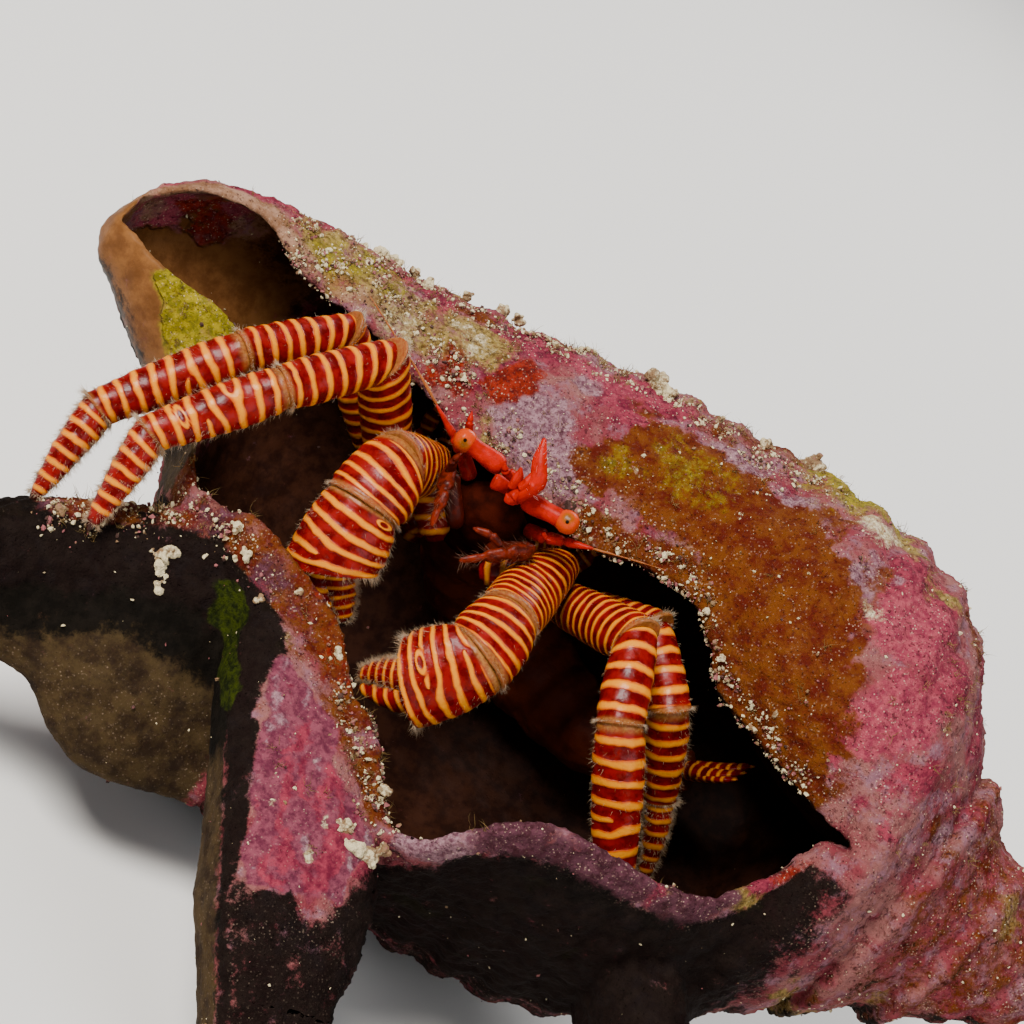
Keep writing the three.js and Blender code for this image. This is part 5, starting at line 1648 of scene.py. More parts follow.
@dataclass
class Limb:
    """A claw or walking leg: its joints from the body outward and the breadth and bands of its segments."""

    name: str
    joints: list
    wide: list
    thick: list
    bands: dict
    cuffs: dict = field(default_factory=dict)
    outward: int = 0
    dactyl_slim: float = 1.0
    hairs: int = 26
    palm_voxel: float = 0.17

    def segments(self) -> list[Segment]:
        """The limb's segments, in order."""
        p = [np.array(j, float) for j in self.joints]
        p = [2 * p[0] - p[1]] + p + [2 * p[-1] - p[-2]]
        made = []
        for part in Part:
            i = part.value
            slim = self.dactyl_slim if part is Part.DACTYL else 1.0
            walks = self.outward == 0 and part is Part.PROPODUS
            made.append(Segment(f"{self.name}_{part.name.lower()}_look", p[i], p[i + 1], p[i + 2], p[i + 3],
                                self.wide[i] * slim, self.thick[i] * slim, self.bands.get(part, Bands()),
                                part, self.cuffs.get(part, 0.0), taper=0.76 if walks else 1.0,
                                cuff_reach=1.3 if walks else 0.75))
        return made

    def palm(self, segment: Segment) -> Piece:
        """Palm fused with its fixed finger, which stands on the claw's outer side beside the movable one."""
        wrist, knuckle, tip = (np.array(j, float) for j in self.joints[3:6])
        forward = unit(tip - knuckle)
        beside = unit(np.cross(forward, VIEWED)) * self.outward
        start = knuckle + 0.4 * (wrist - knuckle) + beside * 2.5
        end = tip + beside * 1.35 - forward * 0.3
        segment.fixed_finger = end
        bend = (start + end) / 2 + beside * 1.05 + UP * 0.3
        u = np.linspace(0, 2, 50)
        wide = knot_curve([[0, 2.2], [0.6, 1.9], [1, 1.55], [1.6, 0.95], [1.9, 0.5], [2, 0.12]])(u)
        rings = swept(path_points([start, bend, end], u), beside, wide, wide * 1.02, 40)
        made = Surface().tube(segment.rings()).tube(rings).build(segment.name)
        applied(made, "REMESH", mode="VOXEL", voxel_size=self.palm_voxel * MM)
        applied(made, "SMOOTH", factor=0.5, iterations=4)
        return made

    def membranes(self, segments: Sequence[Segment]) -> Piece:
        """Soft rings that close the joints, each a short barrel between two segments."""
        gathered = Surface()
        for segment in segments[1:]:
            line = segment.mitres[0]
            u = np.linspace(-1.25, 1.25, 22)
            centres = segment.start + u[:, None] * line
            radius = 0.84 - 0.26 * (np.abs(u) / 1.25) ** 2 + 0.02 * np.cos(u * 9)
            gathered.tube(swept(centres, segment.side, segment.wide * radius, segment.thick * radius, 40),
                          shade=np.tile(0.3 + 0.3 * np.cos(u * 7)[:, None], (1, 40)))
        return gathered.build(f"{self.name}_joint_membranes", Finish.MEMBRANE.made())

    def bristles(self, segments: Sequence[Segment]) -> Bristles:
        """Hairs in a ring at each segment's far rim, in rows along the striae and thick on the dactyl."""
        rng = np.random.default_rng(sum(map(ord, self.name)))
        coat = Bristles()
        for k, segment in enumerate(segments[1:], 1):
            tip = segment.part is Part.DACTYL
            far = segment.part in (Part.PROPODUS, Part.DACTYL)
            n = self.hairs * (84 if tip else 40 if far else 20)
            margin = np.where(rng.random(n) < 0.5, 0.0, math.pi) + 0.42 * rng.normal(size=n)
            a = np.where(rng.random(n) < (0.78 if far else 0.5), margin, rng.random(n) * TAU)
            at_rim = rng.random(n) < (0.0 if tip else 0.4 if far else 0.65)
            lines = np.round(rng.random(n) * segment.length / segment.bands.spacing) * segment.bands.spacing
            lines = np.where(rng.random(n) < 0.6, rng.random(n) * segment.length, lines) if far else lines
            y = np.where(at_rim, segment.length - 0.1, np.clip(lines, 0.3, segment.length * 0.93))
            profile_y, share = segment.profile()
            body = slice(0, len(profile_y) - (0 if tip else 2))
            grown = np.interp(y, profile_y[body], share[body]) * 0.97
            offset = segment.spoke(grown, a)
            u = y / segment.length
            root = segment.start + (y - segment.slant(offset, u))[:, None] * segment.line + offset
            root = root + segment.bow(u)
            lean = 0.55 + 0.6 * rng.random(n)
            way = unit(offset) + lean[:, None] * segment.line + 0.35 * rng.normal(size=(n, 3))
            length = (0.22 + 0.6 * rng.random(n) ** 2) * np.where(at_rim, 1.5, 1.0) * (1.3 if far else 0.9)
            coat.sow(root, way, length, np.stack([(k - 1 + u) / 5, a / TAU], 1))
        return coat

    def build(self) -> None:
        """Builds the limb's segments, its joint membranes and its hairs."""
        segments = self.segments()
        for segment in segments:
            is_palm = self.outward != 0 and segment.part is Part.PROPODUS
            piece = segment.piece(self.palm(segment) if is_palm else None)
            placed(piece, "banded_cuticle", segment.name.removesuffix("_look"))
        placed(self.membranes(segments), "soft_skin")
        placed(self.bristles(segments).build(f"{self.name}_bristles", Finish.SETA), "soft_skin")


def all_limbs() -> list[Limb]:
    """The two claws and the four walking legs."""
    m, c, p, d = Part.MERUS, Part.CARPUS, Part.PROPODUS, Part.DACTYL
    return [
        Limb("cheliped_right",
             [[-4, -1.6, -10], [-8.8, 0, -5], [-11.7, -9.7, -2], [-11.9, -14.6, -6.2], [-10.7, -17.4, -13.6],
              [-5.6, -16.6, -19]], [2.2, 3.6, 4.5, 5, 2.3], [2.1, 3.2, 3.5, 3.5, 1.7],
             {m: Bands(1.4, 0.2, 0.05, 0.02), c: Bands(1.3, 0.35, 0.1, 0.01),
              p: Bands(1.65, 0.15, 0.05, 0.012, ((1, 6.4, 1.8),), ((0.95, -3.2, 0.34, 0.75),)),
              d: Bands(1.3, 0.3)},
             {c: 0.9, p: 1.0}, 1, 0.86),
        Limb("cheliped_left",
             [[4, -1.6, -10], [9.2, -0.6, -6], [8.7, -14.3, -6.9], [8.6, -20.1, -10], [4.4, -22.1, -16.6],
              [-1.2, -20.4, -21]], [2.2, 3.6, 4.3, 5, 2.3], [2.1, 3.2, 3.4, 3.5, 1.7],
             {m: Bands(1.25, 0.1, 0.05, 0.03), c: Bands(1.35, 0.3, -0.05, 0.01),
              p: Bands(1.5, 0.55, 0.04, 0.01, ((-1, 1.2, 1.4), (1, 5.6, -1.2)), ((5.7, 1.9, 0.42, 1.1),)),
              d: Bands(1.1, 0.3)},
             {c: 0.9, p: 1.0}, -1, 0.86),
        Limb("leg2_right",
             [[-5.6, 1.8, -12.2], [-13, 2.6, -9], [-20.2, -3.5, 4.3], [-26.8, -13.7, -0.9],
              [-35.3, -21.9, -11.4], [-34.4, -27.9, -22.7]],
             [2, 2.9, 2.6, 2.8, 2.15], [1.9, 2.2, 2.2, 2.2, 1.7],
             {m: Bands(1.9, 0.2), c: Bands(1.9, 0.5, 0.06),
              p: Bands(1.95, 0.3, 0.08, 0, ((1, 6.2, 1.3), (-1, 9.5, -0.6)), ((12.0, 0.6, 0.42, 1.2),)),
              d: Bands(1.7, 0.1)},
             {p: 0.85}),
        Limb("leg2_left",
             [[5.6, 2.6, -12.4], [12.6, 3.2, -9.8], [21.8, -9.6, -1.8], [25.7, -17.4, -7.4],
              [36, -19, -22.9], [38.5, -13, -38.5]], [2, 2.9, 2.7, 3, 2], [1.9, 2.2, 2.3, 2.3, 1.5],
             {m: Bands(1.6, 0.2), c: Bands(2.3, 0.1, 0.05), p: Bands(2.35, 0.4, -0.05, 0, ((1, 11, 0.4),)),
              d: Bands(1.9, 0.2)}, {p: 0.9}),
        Limb("leg3_right",
             [[-5.8, 6.4, -15.4], [-12, 8.8, -13.6], [-26.1, 1, 2], [-33.2, -9.9, -2.3],
              [-42.2, -18.9, -14.4], [-41.8, -25.4, -25.7]],
             [2, 2.8, 2.6, 2.8, 2.1], [1.9, 2.1, 2.2, 2.2, 1.6],
             {m: Bands(1.9, 0.2), c: Bands(1.85, 0.2, 0.05), p: Bands(1.9, 0.55, 0.07, 0, ((-1, 7, -0.8),)),
              d: Bands(1.7, 0.4)}, {p: 0.85}),
        Limb("leg3_left",
             [[5.8, 6, -15.4], [13, 9.6, -13.2], [23.6, -1.2, -3.8], [29.9, -7.4, -7.3], [35.9, -4.4, -18.9],
              [40.9, -4, -29.8]], [2, 2.8, 2.5, 2.6, 1.7], [1.9, 2.1, 2.1, 2.1, 1.3],
             {m: Bands(1.7, 0.2), c: Bands(2.1, 0.5), p: Bands(2.1, 0.1, 0.05), d: Bands(1.8, 0.6)},
             {p: 0.85}),
    ]


# --------------------------------------------------------------------------- head and body

@dataclass
class Eye:
    """One eyestalk, rounded at its base and carrying a cornea as a swollen cap.

    Both are turned about the line: a ring at share u of it has the profile's radius, a little wider
    across the view than along it.
    """

    name: str
    base: tuple[float, float, float]
    tip: tuple[float, float, float]
    stalk: tuple = ((-0.03, 0.3), (0.0, 0.72), (0.06, 1.04), (0.16, 1.2), (0.32, 1.15), (0.52, 1.02),
                    (0.68, 1.04), (0.73, 0.98), (0.75, 0.7))
    cornea: tuple = ((0.66, 0.5), (0.67, 1.0), (0.71, 1.2), (0.78, 1.34), (0.86, 1.3), (0.93, 1.05),
                     (0.98, 0.62), (1.0, 0.12))

    def turned(self, profile: Sequence, steps: int, sides: int = 48) -> Array:
        """Rings of a profile turned about the stalk's line."""
        a, b = np.array(self.base, float), np.array(self.tip, float)
        u = np.linspace(profile[0][0], profile[-1][0], steps)
        radius = knot_curve(profile)(u)
        centres = a + u[:, None] * (b - a)
        return swept(centres, np.cross(unit(b - a), VIEWED), radius * 1.04, radius * 0.96, sides)

    def build(self) -> None:
        """Builds the stalk and its cornea."""
        rings = self.turned(self.stalk, 46)
        u = np.linspace(0, 1, 46)[:, None]
        shade = np.broadcast_to(0.55 * (1 - smoothstep(u, 0, 0.16)) + 0.12 * np.cos(u * 14), rings.shape[:2])
        stalk = Surface().tube(rings, shade=shade).build(f"eyestalk_{self.name}_look", Finish.ORANGE.made())
        rings = self.turned(self.cornea, 34)
        a, b = np.array(self.base, float), np.array(self.tip, float)
        centre = a + 0.8 * (b - a)
        toward = unit(VIEWED)
        beside = 0.42 * np.cross(toward, unit(b - a)) - 0.1 * (b - a) / 6.7
        pupil = np.linalg.norm(rings - (centre + 1.3 * toward), axis=2)
        patch = np.linalg.norm(rings - (centre + 1.15 * toward + beside), axis=2)
        cap = Surface().tube(rings, pupil=pupil, patch=patch)
        cap = cap.build(f"eye_{self.name}_look", Finish.CORNEA.made())
        placed(stalk, "orange_cuticle", f"eyestalk_{self.name}")
        placed(cap, "cornea", f"eye_{self.name}")


@dataclass
class Sprig:
    """A jointed feeler, mouth limb or small leg: a line, its radii, and the waists between its joints."""

    name: str
    path: list
    radius: list
    finish: Finish = Finish.ORANGE
    waists: tuple = ()
    flatness: float = 1.0
    shade: tuple = (0.0, 0.0)
    banded: float = 0.0
    sides: int = 28
    steps: int = 26
    twigs: list = field(default_factory=list)
    fringe: int = 0
    fringe_length: float = 1.0
    fringe_finish: Finish = Finish.PALE_SETA

    def tube(self, surface: Surface, path: list, radius: list) -> tuple[Array, Array]:
        """Adds one tapering tube, waisted where the joints are.

        Returns:
            The tube's centres and radii.
        """
        last = len(path) - 1
        u = np.linspace(0, last, self.steps * last + 1)
        r = knot_curve(list(enumerate(radius)))(u)
        for waist in self.waists:
            pinch, swell = np.exp(-((u - waist) / 0.09) ** 2), np.exp(-((u - waist + 0.16) / 0.1) ** 2)
            r = r * (1 - 0.3 * pinch + 0.1 * swell)
        ends = np.minimum(1, np.sqrt(np.maximum(1e-3, 1 - (1 - np.clip(u / 0.22, 0, 1)) ** 2)))
        ends = ends * np.sqrt(np.maximum(2e-3, 1 - (1 - np.clip((last - u) / 0.2, 0, 1)) ** 2))
        centres = path_points(path, u)
        rings = swept(centres, np.array([0.2, 0.35, 0.9]), r * ends, r * ends * self.flatness, self.sides)
        rough = 0.05 * layered_noise(rings.reshape(-1, 3), 1.1, 2, 61).reshape(rings.shape[:2])
        rings = rings + rough[..., None] * unit(rings - centres[:, None])
        share = (u / last)[:, None] + 0 * rings[..., 0]
        shade = self.shade[0] + (self.shade[1] - self.shade[0]) * share
        if self.banded:
            along = np.concatenate([[0], np.cumsum(np.linalg.norm(np.diff(centres, axis=0), axis=1))])
            surface.tube(rings, band=np.cos(TAU * along / self.banded)[:, None] + 0 * share,
                         rim=0 * share, horn=smoothstep(share, 0.93, 0.98))
        else:
            surface.tube(rings, shade=shade)
        return centres, r * ends

    def build(self) -> None:
        """Builds the sprig, with its twigs and its fringe of hairs."""
        surface = Surface()
        centres, radii = self.tube(surface, self.path, self.radius)
        for path, radius in self.twigs:
            self.tube(surface, path, radius)
        slot = "banded_cuticle" if self.banded else "orange_cuticle"
        placed(surface.build(f"{self.name}_look", self.finish.made()), slot, self.name)
        if self.fringe:
            hairs = self.hairs(centres, radii).build(f"{self.name}_fringe", self.fringe_finish)
            placed(hairs, "soft_skin")

    def hairs(self, centres: Array, radii: Array) -> Bristles:
        """Hairs that lean outward, over the outer two thirds of the tube."""
        rng = np.random.default_rng(len(self.name))
        k = rng.integers(len(centres) // 3, len(centres) - 1, self.fringe)
        line = unit(np.gradient(centres, axis=0))[k]
        out = unit(rng.normal(size=(self.fringe, 3)))
        out = unit(out - (out * line).sum(1, keepdims=True) * line)
        coat = Bristles(radius=0.022)
        coat.sow(centres[k] + out * radii[k, None] * 0.9,
                 out + 0.9 * line + 0.2 * rng.normal(size=out.shape),
                 self.fringe_length * (0.4 + 0.6 * rng.random(self.fringe)),
                 np.stack([k / len(centres), rng.random(self.fringe)], 1))
        return coat


@dataclass
class Trunk:
    """The body behind the head: a hard shield, and one soft skin over the rear carapace and the abdomen.

    A ring of the carapace at distance u behind the rostrum is a squared oval hung from the dorsal line.
    """

    rostrum: tuple[float, float, float] = (0.0, -2.4, 0.3)
    backward: tuple[float, float, float] = (0.0, 0.8, -0.6)
    dorsal: tuple[float, float, float] = (0.0, 0.6, 0.8)
    shield_length: float = 10.4
    carapace_length: float = 21.5
    half_width: tuple = ((0, 1.6), (1.4, 3.6), (4, 4.8), (7, 5.1), (10.4, 4.9), (12, 5.8), (15, 7),
                         (19, 6.8), (21.5, 5.2))
    height: tuple = ((0, 2.4), (1.4, 4.4), (5, 6.4), (10.4, 8), (15, 9), (19, 8.4), (21.5, 6.4))
    abdomen: tuple = ((0, 11.4, -14), (1.4, 15, -17.6), (5.4, 19, -22.6), (11.6, 21, -27), (19, 20, -29),
                      (26.4, 16.6, -28.4), (33, 13, -25.4), (38, 10, -21.4))
    abdomen_radius: tuple = (5, 6.4, 6.8, 6.6, 5.8, 5, 4, 2.8)
    tail: tuple = ((38.2, 10, -21), (41, 8.4, -18), (43.4, 7.2, -15.2))
    voxel: float = 0.4

    def body(self, start: float, end: float, steps: int) -> Array:
        """Rings of the carapace between two distances behind the rostrum, rounded off at both ends."""
        u = np.linspace(start, end, steps)
        close = np.sqrt(np.maximum(0.02, 1 - (1 - np.clip((u - start) / 0.9, 0, 1)) ** 2))
        close = close * np.sqrt(np.maximum(0.02, 1 - (1 - np.clip((end - u) / 0.9, 0, 1)) ** 2))
        wide, high = knot_curve(self.half_width)(u) * close, knot_curve(self.height)(u) / 2
        back, rise = np.array(self.backward), np.array(self.dorsal)
        centre = np.array(self.rostrum) + u[:, None] * back - high[:, None] * rise
        c, s = squared(72, 0.8)
        rings = centre[:, None] + (wide[:, None] * c)[..., None] * ALONG
        rings = rings + ((high * close)[:, None] * s)[..., None] * rise
        groove = 0.35 * np.exp(-((u - 4.6) / 0.35) ** 2)[:, None] * np.maximum(0, s)[None]
        out = unit(rings - centre[:, None])
        rough = 0.1 * layered_noise(rings.reshape(-1, 3), 1.6, 3, 77).reshape(rings.shape[:2])
        return rings + (rough - groove)[..., None] * out

    def build(self) -> None:
        """Builds the shield, the soft body and the tail fan."""
        rings = self.body(0, self.shield_length, 70)
        # The shield's near-black finish is painted shade; the mottle varies its tone.
        mottle = layered_noise(rings.reshape(-1, 3), 2.4, 3, 5).reshape(rings.shape[:2])
        shield = Surface().tube(rings, shade=0.3 + 0.4 * mottle).build("shield_look", Finish.TRUNK.made())
        placed(shield, "banded_cuticle", "shield")
        u = np.linspace(0, 7, 150)
        r = knot_curve(list(enumerate(self.abdomen_radius)))(u)
        folds = 1 + 0.05 * np.sin(u * 9) + 0.02 * np.sin(u * 31)
        soft = Surface().tube(self.body(self.shield_length - 0.5, self.carapace_length, 60))
        soft.tube(swept(path_points(self.abdomen, u), UP, r * folds, r * folds, 72))
        skin = soft.build("soft_body_look")
        applied(skin, "REMESH", mode="VOXEL", voxel_size=self.voxel * MM)
        applied(skin, "SMOOTH", factor=0.5, iterations=8)
        p = crab_points(skin.data)
        lift = 0.16 * layered_noise(p, 3.0, 4, 19)
        move_points(skin.data, p + normals_of(skin.data) * lift[:, None])
        skin.data.materials.append(Finish.FLESH.made())
        placed(skin, "soft_skin", "carapace", "abdomen_1", "abdomen_2", "abdomen_3")
        fan = Surface()
        tail = np.array(self.tail)
        for sideways, size in ((-0.9, 0.75), (0.0, 1.0), (0.9, 0.8)):
            v = np.linspace(0, 2, 60)
            lobe = path_points(tail + np.array([0.3, 0.8, 0.5]) * sideways * np.arange(3)[:, None] * 0.9, v)
            wide = knot_curve([[0, 1.4], [0.5, 2.2], [1.1, 2.3], [1.7, 1.6], [2, 0.2]])(v) * size
            thick = knot_curve([[0, 1.2], [1, 0.8], [1.7, 0.5], [2, 0.1]])(v)
            lines = np.cos(TAU * v * 3.1)[:, None] + np.zeros((1, 40))
            rings = swept(lobe, np.array([0.6, 0.7, 0.3]), wide, thick, 40)
            fan.tube(rings, band=lines, rim=0 * lines, horn=0 * lines)
        placed(fan.build("tail_fan_look", Finish.BANDED.made()), "banded_cuticle", "tail_fan")


@dataclass
class Head:
    """Eyes, the hard piece between them, feelers, mouth limbs and the small rear legs."""

    eyes: tuple = (Eye("right", (-1.9, -3.9, 2.8), (-8.6, -4.5, 3.0)),
                   Eye("left", (2.0, -4.5, 1.5), (9.0, -5.5, 3.2)))
    three_joints: tuple = (1.0, 1.9, 2.5)

    @staticmethod
    def feelers() -> list[Sprig]:
        """The piece between the eyes, both antennules and both antennae."""
        stem = {"waists": (1.1, 1.9), "shade": (0.7, 0.0), "fringe": 40, "fringe_length": 0.9}
        return [
            Sprig("ocular_segment", [[-1.5, -3.6, 2.3], [0.1, -3.5, 1.9], [1.5, -4, 1.5]], [1.0, 1.35, 1.0],
                  shade=(0.3, 0.3), waists=(1.0,),
                  twigs=[([[-0.6, -4.4, 2.4], [-1.6, -5.2, 3.4], [-2.1, -5.4, 4.2]], [0.6, 0.45, 0.12]),
                         ([[0.8, -4.8, 1.8], [1.1, -5.6, 3.0], [0.9, -5.8, 4.0]], [0.6, 0.45, 0.12])]),
            Sprig("antennule_right",
                  [[0.6, -5.0, 1.6], [-0.6, -6.2, 2.1], [-1.5, -6.9, 2.3], [-2.0, -7.1, 2.3]],
                  [0.6, 0.85, 1.0, 0.85], flatness=0.7,
                  twigs=[([[0.3, -6.5, 2.7], [0.1, -6.8, 4.3], [-0.3, -6.8, 5.6]], [0.8, 0.7, 0.2])]),
            Sprig("antennule_left", [[1.4, -5.9, 1.5], [1.8, -6.9, 3.1], [2.3, -7.1, 5.2], [0.9, -5.9, 7.3],
                                     [-0.2, -4.5, 9.2]], [0.8, 0.9, 1.0, 0.85, 0.3], flatness=0.75,
                  twigs=[([[1.4, -6.3, 2.9], [1.0, -7.2, 2.1], [1.0, -7.3, 1.3]], [0.7, 0.95, 0.8]),
                         ([[1.0, -6.7, 3.4], [1.4, -6.9, 4.8], [1.1, -6.8, 6.0]], [0.8, 0.75, 0.25])],
                  fringe=60, fringe_length=1.1, fringe_finish=Finish.HAZE),
            Sprig("antenna_right_peduncle",
                  [[-4.2, -1.4, -2], [-6.6, -1.8, 0.2], [-9, -2.4, 1.8], [-12.5, -2.6, 3.6]],
                  [1, 0.85, 0.52, 0.2], **stem,
                  twigs=[([[-7.4, -2.8, 2.9], [-8.1, -2.9, 4.4], [-8.8, -2.5, 5.8]], [0.5, 0.42, 0.1])]),
            Sprig("antenna_right_flagellum",
                  [[-12.2, -2.5, 3.5], [-16, -1.8, 5.0], [-20, -1, 6.3], [-26.2, -0.4, 8.6]],
                  [0.22, 0.13, 0.1, 0.05], Finish.FEELER, sides=12),
            Sprig("antenna_left_peduncle",
                  [[4.4, -1.8, -2.6], [6.6, -3.4, -1.2], [9, -4.2, 0.3], [12, -4.6, 1.9]],
                  [0.9, 0.8, 0.55, 0.22], **stem,
                  twigs=[([[6.2, -5.0, -0.2], [6.9, -5.7, -0.2], [7.6, -6.0, 0.1]], [0.32, 0.3, 0.06])]),
            Sprig("antenna_left_flagellum",
                  [[11.8, -4.6, 1.8], [14, -4.5, 2.7], [17, -4.4, 3.9], [20, -4.2, 5]],
                  [0.2, 0.12, 0.09, 0.05], Finish.FEELER, sides=12),
        ]

    def mouth_limbs(self) -> list[Sprig]:
        """The outer pair of mouth limbs."""
        paths = {"right": [[-2, -4.6, -6.6], [-6.4, -4.8, -1.6], [-5.6, -8.0, -2.4], [-4.4, -10.3, -5.5]],
                 "left": [[2, -4.6, -6.6], [6, -6.4, -2.6], [4, -9.1, -3.4], [0.4, -11.4, -6.3]]}
        palps = {"right": ([[-6.6, -5.6, -0.9], [-6.9, -6.4, 1.2], [-6.6, -6.6, 2.6]], [0.7, 0.6, 0.2]),
                 "left": ([[3.4, -8.8, -2.9], [1.6, -9.2, -2.4], [-0.6, -9.4, -2.9]], [0.4, 0.55, 0.3])}
        return [Sprig(f"maxilliped_{side}", path, [1.1, 1.15, 0.9, 0.4], Finish.MOUTH, self.three_joints,
                      0.7, (0.9, 0.2), twigs=[palps[side]], fringe=130, fringe_length=1.7)
                for side, path in paths.items()]

    def rear_legs(self) -> list[Sprig]:
        """The two small rear pairs of legs, each right one a mirror image of the left."""
        made = []
        for number, path, radius, spacing in (
                (4, [[6.4, 9.6, -11.6], [10.6, 12.4, -11.6], [12.6, 15, -7.2], [12.8, 16, -3]],
                 [1.5, 1.4, 1.1, 0.5], 1.3),
                (5, [[5.4, 12, -11], [8.8, 15.2, -10], [10, 17.8, -6.8], [9.4, 18.4, -3.4]],
                 [1.2, 1.1, 0.9, 0.4], 1.2)):
            for side, sign in (("right", -1), ("left", 1)):
                made.append(Sprig(f"leg{number}_{side}", [[sign * x, y, z] for x, y, z in path], radius,
                                  Finish.BANDED, self.three_joints, banded=spacing, fringe=90))
        return made

    def build(self) -> None:
        """Builds every piece of the head."""
        for eye in self.eyes:
            eye.build()
        for sprig in self.feelers() + self.mouth_limbs() + self.rear_legs():
            sprig.build()


# --------------------------------------------------------------------------- what grows on the shell

@dataclass
class Encrusters:
    """Loose sand, shell grit and weed on the crusted shell.

    Each grain is a chip of few faces, knocked out of shape, squashed and set into the crust, and heaped
    where the fine noise is high; each weed filament is a thin bent cone. The weed's places on its unwrap
    are its x and y from a corner, in shares of the spread.
    """

    grains: int = 12000
    tufts: int = 340
    filaments: int = 9
    no_grit_below: float = -55.5
    no_weed_below: float = -50.0
    lowest: float = -57.7
    corner: tuple[float, float] = (-60.0, -62.0)
    spread: tuple[float, float] = (155.0, 110.0)
    seed: int = 3

    def chip(self) -> tuple[Array, Array]:
        """Points and triangles of a chip: two poles and two rings of four."""
        rows = np.array([0.42, -0.42])
        a = TAU * np.arange(4)[None] / 4 + np.array([0, 0.8])[:, None]
        flat = np.sqrt(1 - rows ** 2)[:, None]
        rings = np.stack([flat * np.cos(a), flat * np.sin(a), rows[:, None] + 0 * a], -1).reshape(-1, 3)
        points = np.concatenate([rings, [[0, 0, 1], [0, 0, -1]]])
        faces = []
        for k in range(4):
            n = (k + 1) % 4
            faces += [(8, k, n), (k, 4 + k, n), (n, 4 + k, 4 + n), (4 + k, 9, 4 + n)]
        return points, np.array(faces)

    def build(self, shell: Sequence[Piece]) -> None:
        """Scatters grains and weed over the shell's outside, thickest along the rims and on sandy crust."""
        rng = np.random.default_rng(self.seed)
        p = np.concatenate([crab_points(o.data) for o in shell])
        n = np.concatenate([normals_of(o.data) for o in shell])

        def value(name: str) -> Array:
            """One point value over the whole shell."""
            return np.concatenate([value_of(o.data, name) for o in shell])

        bare = np.maximum(value("hollow"), value("cream"))
        rich = value("sand") + 0.8 * value("rust") + value("white") * 1.2 + 0.3 * value("sponge")
        dull = np.clip(1.3 * np.maximum(value("murk"), value("grey")), 0, 1)
        rim = np.zeros(len(p))
        for line in GRITTY_LINES:
            walk = path_points(line, np.linspace(0, len(line) - 1, 30))
            near = np.min(np.linalg.norm(p[:, None] - walk[None], axis=2), axis=1)
            rim = np.maximum(rim, 1 - smoothstep(near, 1.5, 5.0))
        clump = cloud(p, 5.0, 3, 91, 0.1, 0.9)
        heap = cloud(p, 1.5, 2, 93, -0.1, 0.7)
        want = (1 - np.clip(bare * 1.2, 0, 1)) * (0.05 + 0.5 * rich * clump + 0.2 * clump ** 2 + 2.6 * rim)
        want = want * (0.12 + heap) * (1 - 0.8 * dull * (1 - rim)) + 0.002
        want[p[:, 2] < self.no_grit_below] = 0
        pick = rng.choice(len(p), self.grains, p=want / want.sum())
        self.grit(rng, p[pick], n[pick], heap[pick], rim[pick])
        want = (1 - np.clip(bare * 1.3, 0, 1)) * (0.05 + rim + 1.2 * clump ** 3)
        want = want * smoothstep(n[:, 2], -0.2, 0.5) * (1 - dull * (1 - rim))
        want[p[:, 2] < self.no_weed_below] = 0
        pick = np.repeat(rng.choice(len(p), self.tufts, p=want / want.sum()), self.filaments)
        self.weed(rng, p[pick], n[pick])

    def grit(self, rng: np.random.Generator, p: Array, n: Array, heap: Array, rim: Array) -> None:
        """Builds one grain at each point.

        Args:
            rng: source of the draws.
            p: points.
            n: their normals.
            heap: how much the grains are heaped at each.
            rim: how near each is to a rim, 0 to 1.
        """
        size = (0.05 + 0.2 * rng.random(self.grains) ** 3) * (1 + 0.3 * rim)
        size[: self.grains // 150] *= 2.2
        chip, faces = self.chip()
        turn = np.linalg.qr(rng.normal(size=(self.grains, 3, 3)))[0]
        turn[np.linalg.det(turn) < 0] *= -1
        squash = 0.5 + 0.9 * rng.random((self.grains, 1, 3))
        knock = 1 + 0.25 * rng.normal(size=(self.grains, len(chip), 1)).clip(-1.4, 1.4)
        shape = np.einsum("gij,gkj->gki", turn, chip[None] * squash * knock) * size[:, None, None]
        piled = size * 0.1 + 0.3 * heap * rim * rng.random(self.grains)
        points = shape + (p + rng.normal(size=(self.grains, 3)) * 0.12 + n * piled[:, None])[:, None]
        points[..., 2] = np.maximum(points[..., 2], self.lowest)
        tone = np.repeat(rng.random((self.grains, 1)), len(chip), 1)
        piece = Surface().copies(points, faces, tone=tone).build("shell_grit", Finish.GRIT.made())
        piece.data.shade_flat()
        placed(piece, "shell_crust")

    def weed(self, rng: np.random.Generator, p: Array, n: Array) -> None:
        """Builds one filament of weed at each point, given the points and their normals."""
        root = p + rng.normal(size=p.shape) * 0.25
        coat = Bristles(radius=0.045)
        coat.sow(root, n + 0.55 * rng.normal(size=p.shape), 0.5 + 1.3 * rng.random(len(p)) ** 2,
                 np.clip((p[:, :2] - np.array(self.corner)) / np.array(self.spread), 0, 1))
        placed(coat.build("shell_weed", Finish.WEED, 0.6), "shell_crust")


